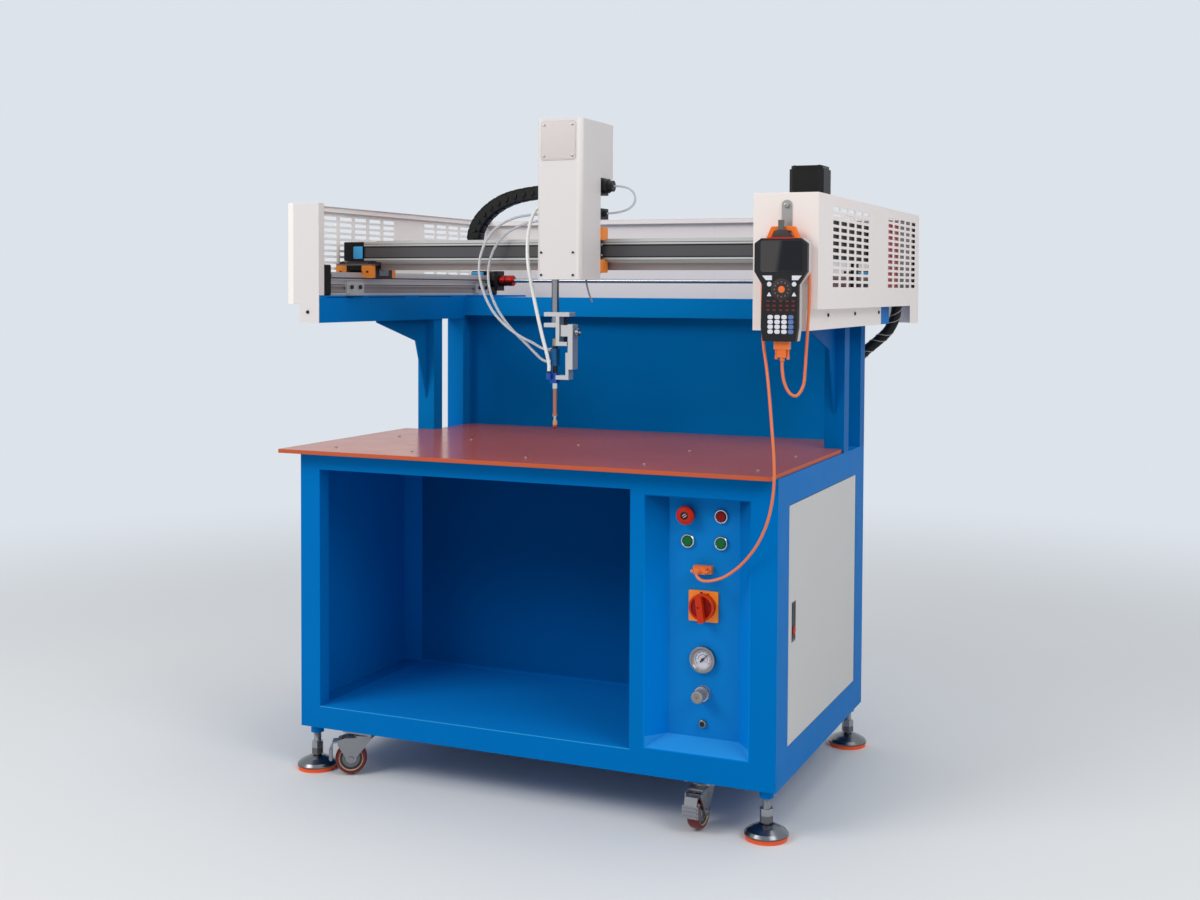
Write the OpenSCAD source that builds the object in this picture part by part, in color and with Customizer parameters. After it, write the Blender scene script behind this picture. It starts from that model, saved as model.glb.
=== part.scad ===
// Cabinet glue dispensing machine: welded cabinet, three-axis gantry, dispensing valve and hand pendant.
// In the modules X runs right, Y back and Z up, from the cabinet's front right bottom corner.

/* [Cabinet] */
// Width over the cabinet's sides
cab_w = 1152; // [1000:2:1300]
// Depth of the cabinet
cab_d = 722; // [660:2:800]
// Height of the cabinet without its feet
cab_h = 640; // [560:2:720]
// Sheet thickness of the walls
sheet = 2.5; // [2:0.5:4]
// Width of the left front post
post_front_w = 52; // [40:1:60]
// Depth of the front posts' return flanges
post_return = 36; // [20:1:50]
// Height of the bottom rail
rail_low = 51; // [40:1:60]
// Height of the top rail
rail_high = 38; // [30:1:50]
// Depth of the open bay
bay_d = 450; // [350:5:520]
// Width of the control column at the right
control_w = 291; // [260:1:340]
// Width of the divider post between the bay and the controls
divider_w = 32; // [24:1:40]

/* [Control panel] */
// Depth of the recessed panel
recess_d = 48; // [30:1:60]
// Width of the recess at the front
recess_w = 234; // [200:1:236]
// Width of the flat panel
panel_w = 154; // [140:1:170]
// Outside diameter of the button bezels
bezel_d = 29.5; // [26:0.5:32]
// Diameter of the emergency stop
stop_d = 40; // [36:1:44]
// Side of the square main switch plate
switch_side = 65; // [56:1:70]
// Diameter of the pressure gauge
gauge_d = 56; // [48:1:60]

/* [Tabletop] */
// Thickness of the tabletop
table_t = 9; // [6:0.5:16]
// Overhang past the left side
table_left = 37; // [0:1:60]
// Overhang past the front
table_front = 36; // [10:1:42]

/* [Gantry frame] */
// Height of the uprights
post_h = 300; // [240:2:400]
// Width of the square uprights
post_w = 48; // [40:1:52]
// Height of the side beams
beam_h = 63; // [50:1:80]
// Width of the right side beam
beam_r_w = 108; // [100:1:120]

/* [Covers] */
// Height of the covers over the side beams
cover_h = 213; // [190:1:260]
// Sheet thickness of the covers
cover_t = 1.5; // [1:0.1:2.5]
// Overhang of the left cover past the side
cover_l = 32; // [25:1:45]
// Overhang of the right cover past its beam
cover_r = 24.5; // [20:0.5:40]
// Depth of the covers
cover_d = 976; // [940:2:1040]

/* [Linear modules] */
// Width of a module's profile
mod_w = 46; // [44:1:50]
// Height of a module's profile
mod_h = 55; // [50:1:60]
// Length of a carriage
car_l = 105; // [90:1:120]
// Width of a carriage
car_w = 102; // [96:1:110]
// Distance of the carriages from the front
car_y = 182; // [182:1:300]
// Side of the square motor
motor_w = 75; // [60:1:76]
// Height of the motor
motor_h = 154; // [120:1:170]

/* [Dispensing head] */
// Width of the head cover
head_w = 110; // [104:1:124]
// Height of the head cover
head_h = 351; // [320:1:380]
// Diameter of the lifting rod
rod_d = 16.5; // [14:0.5:18]
// Diameter of the nozzle tube
nozzle_d = 8.6; // [6:0.2:10]
// Length of the nozzle tube
nozzle_l = 55; // [40:1:58]

/* [Feet and casters] */
// Diameter of the feet
foot_d = 92; // [70:1:92]
// Diameter of the caster wheels
wheel_d = 72; // [66:1:72]
// Width of the caster wheels
wheel_w = 26; // [20:1:28]

/* [Hidden] */
$fn = 32;

// running fit, free gap and overlap used by every joint
fit = 0.06;
gap = 0.4;
eps = 0.02;

// floor, table and gantry levels
floor_z = -103;
table_z = cab_h + table_t;
beam_z = cab_h + post_h;
beam_top = beam_z + beam_h;
cover_z = beam_top + cover_h;
skirt_z = beam_z;
wall_z = beam_z + 43;

// sides of the frame and of the covers
left = -cab_w;
beam_l_w = 52;
beam_r_x = beam_r_w / 2;
beam_l_x = left + beam_l_w;
beam_r_in = -beam_r_w / 2;
cover_lx = left - cover_l;
cover_rx = beam_r_x + cover_r;
cover_front = -cover_t;
cover_back = cover_front + cover_d;
post_y = cab_d - 198;
cross_y = cab_d - 42;
cross_d = 61;

// modules, carriages and the moving bridge
mod_lx = left + 26;
mod_rx = -26;
mod_y0 = 47;
mod_y1 = 812;
car_z0 = beam_top + mod_h - 13;
car_z1 = beam_top + mod_h + 17;
rail_t = 6;
rail_hh = 8;
lip_t = 2.5;
bridge_z = car_z1 + 11;
bridge_y = car_y + 10;
bridge_x0 = left + 48;
bridge_x1 = -48;
bridge_zc = bridge_z + mod_w / 2;
shaft_y = mod_y1 + 26;
shaft_z = beam_top + 40;

// head, lifting rod and valve
head_x = left / 2 + 49.5;
head_x0 = head_x - head_w / 2;
head_x1 = head_x + head_w / 2;
head_y = bridge_y - 116;
head_z = bridge_z - 44;
head_top = head_z + head_h;
plate_y = bridge_y - 24;
block_y = plate_y + 7;
head_step = head_z + 0.65 * head_h;
head_r = 9;
rod_x = head_x - 30;
rod_y = bridge_y - 72;
rod_z = head_z - 106;
clamp_z = head_z - 82;
valve_z = head_z - 154;
tube_z = valve_z - 89;

// control panel
control_x = -control_w;
recess_x1 = -57;
recess_x0 = recess_x1 - recess_w;
recess_z0 = 56;
recess_z1 = cab_h - 47;
panel_xc = (recess_x0 + recess_x1) / 2;
panel_z0 = recess_z0 + 26;
panel_z1 = recess_z1 - 8;
panel_y = recess_d;
stop_x = panel_xc - 36;
right_x = panel_xc + 38;
spread = (panel_z1 - panel_z0) / 503;
row_1 = panel_z1 - 35 * spread;
row_2 = row_1 - 56 * spread;
plug_z = row_2 - 57 * spread;
switch_z = plug_z - 78 * spread;
gauge_z = switch_z - 112 * spread;
regulator_z = gauge_z - 72 * spread;
socket_z = regulator_z - 65 * spread;
column_x = panel_xc;

// gland of the cable bundle at the back, and the terminal box it comes from
gland_z = cab_h - 84;
entry_z = beam_top + 67;
term_x = beam_r_x - 16;
term_y = cab_d - 100;
term_w = 34;
term_d = 62;
term_h = 187;

// side door
door_y0 = 80;
door_y1 = cab_d - 77;
door_z0 = 72;
door_z1 = cab_h - 63;
door_t = 18;
door_gap = 1.5;
door_pin = 6;
door_axis_x = -5;
door_axis_y = door_y1 - door_gap - 5;
handle_y = 117;
handle_z = 328;
handle_w = 24;
handle_h = 81;
handle_axis_z = handle_z - handle_h / 2 + 6;

// feet and casters
foot_in_x = 27;
foot_in_y = 26;
caster_in_l = 152;
caster_in_r = 170;
caster_in_y = 45;
caster_in_fl = 32;
caster_off = 30;
wheel_z = floor_z + 3 + wheel_d / 2;
axle_d = 8;
pedal_r = 54;
pedal_z = -26;
turn_fl = 30;
turn_fr = 88;
turn_rl = 0;
turn_rr = 20;

// pendant
pend_x = 13.5;
pend_z = cab_h + 280;
pend_back = -12;
pend_front = -45;

// the whole machine stands over the middle of its own outline
box_x0 = min(left - table_left, cover_lx, left + foot_in_x - foot_d / 2);
box_x1 = max(cover_rx, foot_d / 2 - foot_in_x);
box_y0 = pend_front;
box_y1 = cover_back;
shift = [-(box_x0 + box_x1) / 2, -(box_y0 + box_y1) / 2, -floor_z];

// routes of the cords, from the level or the head that they hang from
head_at = [head_x, bridge_y, head_z];
cable_route = [for (q = [
  [13.5, -27, 239], [14, -27, 222], [18, -26, 198], [28, -22, 177], [41, -15, 172], [52, -8, 192],
  [55, -7, 222], [57, -7, 260], [60, -7, 310], [62, -7, 360], [62, -7, 410], [56, -7, 455],
  [40, -8, 487], [20, -8, 503], [4, -8, 503], [-16, -7, 487], [-30, -7, 455], [-34, -7, 410],
  [-35, -7, 365], [-34, -8, 325], [-30, -13, 275], [-20, -22, 224], [-11, -31, 170],
  [-2, -40, 100], [3, -43, 50], [4, -43, 0], [-1, -42, -45], [-14, -37, -90], [-38, -27, -135],
  [-72, -16, -175], [-108, -12, -203], [-140, -10, -215], [-162, -5, -216], [-174, 0, -208],
  [-174, 8, -203]]) [0, 0, cab_h] + q];
conduit_route = [for (q = [
  [55, -33.4, 430], [55, -16, 430], [56, 8, 426], [59, 38, 412], [61, 63, 384], [61, 76, 348], [55, 81, 312],
  [38, 82, 280], [11, 79, 253], [-18, 75, 228], [-41, 70, 196], [-53, 65, 152], [-56, 61, 102],
  [-56, 58, 50], [-56, 54, 0], [-56, 46, -36], [-56, 34, -66], [-56, 20, -82], [-56, 10, -84],
  [-56, 0, -84]]) [0, cab_d, cab_h] + q];
chain_route = [for (q = [
  [-64.5, 80, 208], [-113.5, 80, 207], [-173.5, 80, 202], [-228.5, 80, 190], [-273.5, 80, 166],
  [-304.5, 80, 134], [-316.5, 80, 99], [-307.5, 80, 67], [-279.5, 80, 46], [-238.5, 80, 41],
  [-173.5, 80, 41], [-113.5, 80, 41]]) head_at + q];
loop_route = [for (q = [
  [78.5, 3, 210], [96.5, 3, 209], [114.5, 3, 204], [126.5, 3, 194], [130.5, 3, 180],
  [124.5, 3, 166], [108.5, 3, 156], [86.5, 3, 151], [62.5, 3, 149]]) head_at + q];
hose_a_route = [for (q = [
  [-67.5, -10, 148], [-88.5, -10, 149], [-118.5, -14, 148], [-153.5, -22, 142], [-188.5, -32, 126],
  [-214.5, -42, 99], [-227.5, -52, 62], [-228.5, -62, 25], [-220.5, -67, -10], [-205.5, -71, -43],
  [-183.5, -73, -76], [-152.5, -74, -105], [-118.5, -74, -127], [-85.5, -73, -142],
  [-65.5, -72, -152.5], [-51.5, -72, -156], [-43.4, -72, -156]]) head_at + q];
hose_b_route = [for (q = [
  [-67.5, -10, 136], [-86.5, -9, 136], [-113.5, -8, 133], [-143.5, -11, 126], [-174.5, -17, 110],
  [-199.5, -25, 85], [-212.5, -34, 53], [-214.5, -44, 19], [-207.5, -52, -16], [-192.5, -58, -50],
  [-169.5, -62, -84], [-139.5, -64, -116], [-108.5, -66, -142], [-82.5, -69, -164],
  [-64.5, -71, -178], [-51.5, -72, -183], [-43.4, -72, -183]]) head_at + q];
glue_route = [for (q = [
  [-67.5, -10, 173], [-79.5, -11, 173], [-95.5, -18, 166], [-105.5, -32, 148], [-105.5, -54, 112],
  [-99.5, -73, 68], [-90.5, -85, 25], [-80.5, -89, -15], [-70.5, -90, -57], [-61.5, -90, -94],
  [-51.5, -89, -134], [-42.5, -88, -166], [-38.5, -86, -190], [-38.5, -86, -203.7]]) head_at + q];

module place() {
  translate(shift) children();
}

module box(a, b) {
  translate(a) cube([b[0] - a[0], b[1] - a[1], b[2] - a[2]]);
}

module side_box(xa, xb, y0, y1, z0, z1) {
  // a box between two X values given in either order
  box([min(xa, xb), y0, z0], [max(xa, xb), y1, z1]);
}

module rod(p, q, d) {
  // a round bar along X, Y or Z between two points
  v = q - p;
  translate([min(p[0], q[0]), min(p[1], q[1]), min(p[2], q[2])])
    rotate(v[0] != 0 ? [0, 90, 0] : v[1] != 0 ? [-90, 0, 0] : [0, 0, 0])
      cylinder(d = d, h = norm(v));
}

module side_plate(x0, x1, points) {
  // an outline in Y and Z, thick from x0 to x1
  translate([x0, 0, 0]) rotate([90, 0, 90]) linear_extrude(x1 - x0) polygon(points);
}

module front_plate(y0, y1, points) {
  // an outline in X and Z, thick from y0 to y1
  translate([0, y1, 0]) rotate([90, 0, 0]) linear_extrude(y1 - y0) polygon(points);
}

module slab(a, b, r) {
  // a flat plate in X and Z with rounded corners
  translate([0, b[1], 0]) rotate([90, 0, 0])
    linear_extrude(b[1] - a[1]) round_rect(a[0], a[2], b[0], b[2], r);
}

module round_rect(x0, y0, x1, y1, r) {
  translate([x0 + r, y0]) square([x1 - x0 - 2 * r, y1 - y0]);
  translate([x0, y0 + r]) square([x1 - x0, y1 - y0 - 2 * r]);
  for (x = [x0 + r, x1 - r], y = [y0 + r, y1 - r]) translate([x, y]) circle(r = r);
}

// smooth route through hand-set points, and the tube swept along it
function curve(a, b, c, d, t) =
  0.5 * (2 * b + (c - a) * t + (2 * a - 5 * b + 4 * c - d) * t * t + (3 * b - a - 3 * c + d) * t * t * t);
function route(p, n) = [
  for (i = [0 : len(p) - 2], k = [0 : n - 1])
    curve(p[max(i - 1, 0)], p[i], p[i + 1], p[min(i + 2, len(p) - 1)], k / n),
  p[len(p) - 1]];
function unit(v) = v / norm(v);
function along(p) = [for (i = [0 : len(p) - 1]) unit(p[min(i + 1, len(p) - 1)] - p[max(i - 1, 0)])];
function carried(t, sides, i = 1) =
  i == len(t) ? sides : carried(t, concat(sides, [unit(sides[i - 1] - t[i] * (sides[i - 1] * t[i]))]), i + 1);

module tube(points, d, n, sides) {
  p = route(points, n);
  t = along(p);
  u = carried(t, [unit(cross(t[0], [0.13, 0.21, 1]))]);
  rings = [for (i = [0 : len(p) - 1], k = [0 : sides - 1])
    p[i] + d / 2 * (cos(360 * k / sides) * u[i] + sin(360 * k / sides) * cross(t[i], u[i]))];
  last = (len(p) - 1) * sides;
  walls = [for (i = [0 : len(p) - 2], k = [0 : sides - 1])
    [i * sides + k, i * sides + (k + 1) % sides, (i + 1) * sides + (k + 1) % sides, (i + 1) * sides + k]];
  ends = [[for (k = [0 : sides - 1]) k], [for (k = [sides - 1 : -1 : 0]) last + k]];
  polyhedron(rings, concat([for (w = walls) [w[3], w[2], w[1], w[0]]], ends));
}

// Cabinet body: posts, rails, walls, bay and the machine space behind it
module cabinet() {
  color([0.0, 0.42, 0.74]) place() {
    difference() {
      union() {
        box([left, 0, 0], [0, cab_d, cab_h]);
        for (x = [left + foot_in_x, -foot_in_x], y = [foot_in_y, cab_d - foot_in_y])
          rod([x, y, -18], [x, y, 1], 30);
      }
      bay_space();
      machine_space();
      bottom_space();
      box([recess_x0, -1, recess_z0], [recess_x1, panel_y + 4, recess_z1]);
      box([-30, door_y0, door_z0], [1, door_y1, door_z1]);
      for (z = [door_z0 - 9, door_z1 - 1])
        rod([door_axis_x, door_axis_y, z], [door_axis_x, door_axis_y, z + 10], door_pin + 2 * fit);
      for (x = [left + foot_in_x, -foot_in_x], y = [foot_in_y, cab_d - foot_in_y])
        rod([x, y, -19], [x, y, 30], 17 + 2 * fit);
      rod([-56, cab_d - 4, gland_z], [-56, cab_d + 1, gland_z], 31);
    }
    // gland of the cable bundle at the back
    difference() {
      rod([-56, cab_d - 12, gland_z], [-56, cab_d + 6, gland_z], 42);
      rod([-56, cab_d - 13, gland_z], [-56, cab_d + 7, gland_z], 26.8);
    }
  }
}

module bay_space() {
  box([left + post_front_w, -1, rail_low], [control_x - divider_w, post_return + 1, cab_h - rail_high]);
  box([left + sheet, post_return, rail_low], [control_x - divider_w - sheet, bay_d, cab_h - rail_high]);
}

module machine_space() {
  box([left + sheet, bay_d + sheet, rail_low], [-20, cab_d - sheet, cab_h - sheet]);
  box([control_x - divider_w + 4, panel_y + 4, rail_low], [-20, cab_d - sheet, cab_h - sheet]);
}

module bottom_space() {
  box([left + 60, 60, 3], [-60, cab_d - 60, rail_low - sheet]);
  box([left + 240, 130, -1], [left / 2 - 40, cab_d - 130, 4]);
  box([left / 2 + 40, 130, -1], [-240, cab_d - 130, 4]);
}

// Recessed control panel with slanted sides, holed for its fittings
module control_panel() {
  color([0.0, 0.42, 0.74]) place() difference() {
    recess_block(0);
    recess_block(2);
    for (p = [[stop_x, row_1], [right_x, row_1], [stop_x, row_2], [right_x, row_2]])
      rod([p[0], panel_y - 1, p[1]], [p[0], panel_y + 9, p[1]], 24.2);
    rod([column_x, panel_y - 1, gauge_z], [column_x, panel_y + 9, gauge_z], 40.2);
    rod([column_x, panel_y - 1, regulator_z], [column_x, panel_y + 9, regulator_z], 20.2);
    rod([column_x, panel_y - 1, socket_z], [column_x, panel_y + 9, socket_z], 12.2);
    rod([column_x, panel_y - 1, switch_z], [column_x, panel_y + 9, switch_z], 22);
  }
}

module recess_block(t) {
  // t is the thickness taken off; the panel is 4 mm thick at its flat back
  dx = (recess_w - panel_w) / 2;
  y1 = t == 0 ? panel_y + 4 : panel_y;
  intersection() {
    box([recess_x0 + t, -t, recess_z0 + t], [recess_x1 - t, y1, recess_z1 - t]);
    translate([0, 0, recess_z0]) linear_extrude(recess_z1 - recess_z0)
      polygon([[recess_x0 + t, -t], [recess_x1 - t, -t], [recess_x1 - t, 0], [recess_x1 - dx, panel_y],
        [recess_x1 - dx, y1], [recess_x0 + dx, y1], [recess_x0 + dx, panel_y], [recess_x0 + t, 0]]);
    side_plate(recess_x0, recess_x1, [[-t, recess_z0 + t], [0, recess_z0 + t], [panel_y, panel_z0],
      [y1, panel_z0], [y1, panel_z1], [panel_y, panel_z1], [0, recess_z1 - t], [-t, recess_z1 - t]]);
  }
}

// Glossy tabletop, cut out round the uprights
module tabletop() {
  color([0.62, 0.25, 0.17]) place()
    translate([0, 0, cab_h]) linear_extrude(table_t) polygon([
      [left - table_left, -table_front], [-5, -table_front], [-5, post_y - gap],
      [-post_w - gap, post_y - gap], [-post_w - gap, cab_d - 5], [left + post_w + gap, cab_d - 5],
      [left + post_w + gap, post_y - gap], [left - table_left, post_y - gap]]);
}

// Welded gantry frame: uprights, side beams, cross beam, gussets and back panel
module gantry_frame() {
  color([0.0, 0.42, 0.74]) place() {
    for (x = [left, -post_w]) {
      box([x, post_y, cab_h], [x + post_w, post_y + 43, beam_z + 1]);
      box([x, cross_y, cab_h], [x + post_w, cab_d, beam_z + 1]);
    }
    box([left, 0, beam_z], [beam_l_x, cab_d + 20, beam_top]);
    box([beam_r_in, 0, beam_z], [beam_r_x, cab_d + 20, beam_top]);
    box([beam_l_x - 1, cross_y, beam_z + 8], [beam_r_in + 1, cross_y + cross_d, beam_top - 5]);
    box([left + post_w - 1, cab_d - 4, cab_h], [-post_w + 1, cab_d - 1, beam_z + 9]);
    for (x = [left + 22, -26])
      side_plate(x, x + 4, [[285, beam_z + 1], [285, beam_z - 5], [470, beam_z - 56],
        [post_y + 1, beam_z - 214], [post_y + 1, beam_z + 1]]);
    box([left, cab_d + 19, beam_top - 5], [beam_l_x + 90, mod_y1 + 60, beam_top]);
    box([beam_l_x - 1, cross_y + 8, beam_top - 5.01], [beam_l_x + 90, cab_d + 20, beam_top]);
    box([beam_r_in - 90, cab_d + 19, beam_top - 5], [20, mod_y1 + 60, beam_top]);
    box([beam_r_in - 90, cross_y + 8, beam_top - 5.01], [beam_r_in + 1, cab_d + 20, beam_top]);
  }
}

// Sheet covers round the modules, with pressed ventilation slots
module left_cover() {
  color([0.92, 0.91, 0.89]) place() difference() {
    union() {
      front_plate(cover_front, 0, [[cover_lx, wall_z], [cover_lx, cover_z], [beam_l_x, cover_z],
        [beam_l_x, skirt_z], [left - cover_t, skirt_z], [left - cover_t, wall_z]]);
      box([cover_lx, cover_front, wall_z], [cover_lx + cover_t, cover_back, cover_z]);
      box([cover_lx, 876, skirt_z - 2], [cover_lx + cover_t, cover_back, wall_z + 1]);
      box([cover_lx, cover_front, wall_z], [left, 650, wall_z + cover_t]);
      box([left - cover_t, cover_front, skirt_z], [left, 650, wall_z + 1]);
      box([beam_l_x - cover_t, cover_front, beam_top + gap], [beam_l_x, 20, cover_z]);
      box([cover_lx, cover_front, cover_z - cover_t], [cover_lx + 18, cover_back - cover_t - gap, cover_z]);
      box([cover_lx, cover_front, cover_z - cover_t], [beam_l_x, 16, cover_z]);
    }
    vents(cover_lx - 1, 141, 607);
  }
}

module right_cover() {
  color([0.92, 0.91, 0.89]) place() difference() {
    union() {
      front_plate(cover_front, 0, [[beam_r_in - 3, skirt_z], [beam_r_in - 3, cover_z], [cover_rx, cover_z],
        [cover_rx, wall_z], [beam_r_x + cover_t, wall_z], [beam_r_x + cover_t, skirt_z]]);
      box([cover_rx - cover_t, cover_front, wall_z], [cover_rx, cover_back, cover_z]);
      box([cover_rx - cover_t, 876, skirt_z - 2], [cover_rx, cover_back, wall_z + 1]);
      box([beam_r_x, cover_front, wall_z], [cover_rx, 650, wall_z + cover_t]);
      box([beam_r_x, cover_front, skirt_z], [beam_r_x + cover_t, 650, wall_z + 1]);
      box([beam_r_in - 3, cover_front, beam_top + gap], [beam_r_in - 3 + cover_t, 20, cover_z]);
      box([cover_rx - 18, cover_front, cover_z - cover_t], [cover_rx, cover_back, cover_z]);
      box([beam_r_in - 3, cover_front, cover_z - cover_t], [cover_rx, 16, cover_z]);
      box([cover_lx + cover_t + gap, cover_back - cover_t, skirt_z - 2], [cover_rx, cover_back, cover_z]);
      box([cover_lx + 18 + gap, cover_back - 18, cover_z - cover_t], [cover_rx, cover_back, cover_z]);
    }
    vents(cover_rx - 3, 111, 618);
  }
}

module vents(x, y_a, y_b) {
  for (y = [y_a, y_b], c = [0 : 4], r = [0 : 11])
    box([x, y + c * 65.5, beam_top + 25 + r * 14.3], [x + 4, y + c * 65.5 + 50, beam_top + 33.3 + r * 14.3]);
}

// Belt-driven linear modules on the side beams, with rails, slots and clamps
module y_modules() {
  color([0.72, 0.73, 0.74]) place() for (x = [mod_lx, mod_rx]) {
    difference() {
      box([x - mod_w / 2, mod_y0, beam_top], [x + mod_w / 2, mod_y1, beam_top + mod_h]);
      for (s = [-1, 1], z = [14, 30])
        box([x + s * mod_w / 2 - 3, mod_y0 - 1, beam_top + z],
          [x + s * mod_w / 2 + 3, mod_y1 + 1, beam_top + z + 6]);
      box([x - 12, mod_y0 - 1, beam_top + mod_h - 2], [x + 12, mod_y1 + 1, beam_top + mod_h + 1]);
    }
    for (s = [-1, 1])
      side_box(x + s * (mod_w / 2 - 0.5), x + s * (mod_w / 2 + rail_t), mod_y0, mod_y1,
        beam_top + mod_h - 12, beam_top + mod_h - 12 + rail_hh);
    for (s = [-1, 1], y = [109, mod_y1 - 72]) if (s * (x - left / 2) < 0) y_clamp(x, s, y);
  }
}

module y_clamp(x, s, y) {
  // an angle bracket with two screw heads, on the beam's top
  f = x + s * mod_w / 2;
  difference() {
    union() {
      box([min(f, f + s * 6), y, beam_top], [max(f, f + s * 6), y + 72, beam_top + 33]);
      box([min(f, f + s * 14), y, beam_top], [max(f, f + s * 14), y + 72, beam_top + 6]);
    }
  }
  for (dy = [18, 54]) rod([f + s * 5, y + dy, beam_top + 20], [f + s * 10, y + dy, beam_top + 20], 10);
}

// Drive ends of the modules: front caps, rear bearing housings and the belt motor
module y_drive_ends() {
  color([0.08, 0.08, 0.09]) place() for (x = [mod_lx, mod_rx]) {
    s = x < left / 2 ? 1 : -1;
    slab([x - 26, 20, beam_top], [x + 26, mod_y0, beam_top + 72], 4);
    difference() {
      union() {
        slab([x - 25, mod_y1, beam_top], [x + 25, mod_y1 + 58, beam_top + 67], 4);
        rod([x + s * 24, shaft_y, shaft_z], [x + s * 46, shaft_y, shaft_z], 36);
        side_plate(min(x + s * 45, x + s * 54), max(x + s * 45, x + s * 54),
          [[mod_y1 + 5, beam_top + 12], [mod_y1 + 47, beam_top + 12], [mod_y1 + 47, beam_top + 67],
          [mod_y1 + 5, beam_top + 67]]);
      }
      rod([x + s * 20, shaft_y, shaft_z], [x + s * 56, shaft_y, shaft_z], 12 + 2 * fit);
    }
    if (s < 0) rod([x + 24, shaft_y, shaft_z], [x + 30, shaft_y, shaft_z], 40);
    if (s < 0) box([x + 29, shaft_y - 28, shaft_z - 28], [x + 66, shaft_y + 28, shaft_z + 28]);
    if (s < 0) cable_tray(x + 64, beam_top + 80);
  }
}

module cable_tray(x, z) {
  // an open channel on two legs, seen through the right cover's slots
  difference() {
    box([x, 132, z], [x + 36, 462, z + 85]);
    box([x + 2, 134, z + 2], [x + 34, 460, z + 86]);
  }
  for (y = [150, 420]) box([x, y, beam_top], [x + 12, y + 24, z + 0.5]);
}

// Terminal box on the right beam, and the cable bundle that leaves it
module junction_box() {
  color([0.75, 0.13, 0.12]) place() difference() {
    union() {
      box([term_x, term_y, beam_top], [term_x + term_w, term_y + term_d, beam_top + term_h]);
      rod([term_x + term_w / 2, term_y + term_d - 1, entry_z],
        [term_x + term_w / 2, term_y + term_d + 10, entry_z], term_w);
      for (z = [12, term_h - 20]) rod([term_x - 1.5, term_y + term_d / 2, beam_top + z],
        [term_x + 1, term_y + term_d / 2, beam_top + z], 9);
    }
    rod([term_x + term_w / 2, term_y + term_d + 4, entry_z],
      [term_x + term_w / 2, term_y + term_d + 11, entry_z], 26.8);
  }
}

module conduit() {
  color([0.07, 0.07, 0.08]) place() tube(conduit_route, 26, 1, 10);
}

// Panel fittings: three button bezels, the emergency stop's collar, gauge, regulator and air socket
module panel_fittings() {
  color([0.78, 0.79, 0.8]) place() {
    for (p = [[right_x, row_1], [stop_x, row_2], [right_x, row_2]]) difference() {
      union() {
        rod([p[0], panel_y - 5, p[1]], [p[0], panel_y, p[1]], bezel_d);
        rod([p[0], panel_y - 1, p[1]], [p[0], panel_y + 30, p[1]], 24);
      }
      rod([p[0], panel_y - 6, p[1]], [p[0], panel_y + 26, p[1]], 20.5 + 2 * fit);
    }
    difference() {
      union() {
        rod([stop_x, panel_y - 8, row_1], [stop_x, panel_y, row_1], 30);
        rod([stop_x, panel_y - 1, row_1], [stop_x, panel_y + 40, row_1], 24);
      }
      rod([stop_x, panel_y - 9, row_1], [stop_x, panel_y + 36, row_1], 18 + 2 * fit);
    }
    gauge_case();
    difference() {
      union() {
        rod([column_x, panel_y - 12, regulator_z], [column_x, panel_y, regulator_z], 33);
        rod([column_x, panel_y - 1, regulator_z], [column_x, panel_y + 44, regulator_z], 20);
      }
      rod([column_x, panel_y - 13, regulator_z], [column_x, panel_y + 26, regulator_z], 10 + 2 * fit);
    }
    difference() {
      union() {
        rod([column_x, panel_y - 6, socket_z], [column_x, panel_y, socket_z], 16);
        rod([column_x, panel_y - 1, socket_z], [column_x, panel_y + 30, socket_z], 12);
      }
      rod([column_x, panel_y - 7, socket_z], [column_x, panel_y + 20, socket_z], 7.5);
    }
  }
}

module gauge_case() {
  difference() {
    union() {
      rod([column_x, panel_y - 11, gauge_z], [column_x, panel_y, gauge_z], gauge_d);
      rod([column_x, panel_y - 1, gauge_z], [column_x, panel_y + 30, gauge_z], 40);
    }
    rod([column_x, panel_y - 12, gauge_z], [column_x, panel_y - 5, gauge_z], gauge_d - 8);
    rod([column_x, panel_y - 6, gauge_z], [column_x, panel_y + 6, gauge_z], 4 + 2 * fit);
  }
}

module gauge_needle() {
  color([0.1, 0.1, 0.1]) place() {
    rod([column_x, panel_y - 7.5, gauge_z], [column_x, panel_y + 5, gauge_z], 4);
    translate([column_x, 0, gauge_z]) rotate([0, -45, 0])
      front_plate(panel_y - 7.5, panel_y - 6.5, [[-8, -1.6], [16, -0.5], [18, 0], [16, 0.5], [-8, 1.6]]);
  }
}

// Push buttons: mushroom head and three flush caps
module estop_button() {
  color([0.85, 0.15, 0.1]) place() {
    rod([stop_x, panel_y - 14, row_1], [stop_x, panel_y + 31, row_1], 18);
    translate([stop_x, panel_y - 12, row_1]) rotate([90, 0, 0]) rotate_extrude() polygon([[0, 0],
      [stop_d / 2 - 6, 0], [stop_d / 2 - 1, 3], [stop_d / 2, 7], [stop_d / 2 - 1, 11], [stop_d / 2 - 6, 14],
      [9, 15], [8, 13], [0, 13]]);
  }
}

module cap(x, z) {
  place() rod([x, panel_y - 6.5, z], [x, panel_y + 22, z], 20.5);
}

module stop_button() {
  color([0.7, 0.05, 0.08]) cap(right_x, row_1);
}

module start_button() {
  color([0.0, 0.45, 0.25]) cap(stop_x, row_2);
}

module reset_button() {
  color([0.0, 0.45, 0.25]) cap(right_x, row_2);
}

// Rotary main switch
module switch_plate() {
  color([0.95, 0.5, 0.1]) place() difference() {
    union() {
      slab([column_x - switch_side / 2, panel_y - 5, switch_z - switch_side / 2],
        [column_x + switch_side / 2, panel_y, switch_z + switch_side / 2], 3);
      rod([column_x, panel_y - 1, switch_z], [column_x, panel_y + 40, switch_z], 22);
    }
    rod([column_x, panel_y - 6, switch_z], [column_x, panel_y + 30, switch_z], 12 + 2 * fit);
  }
}

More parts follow.
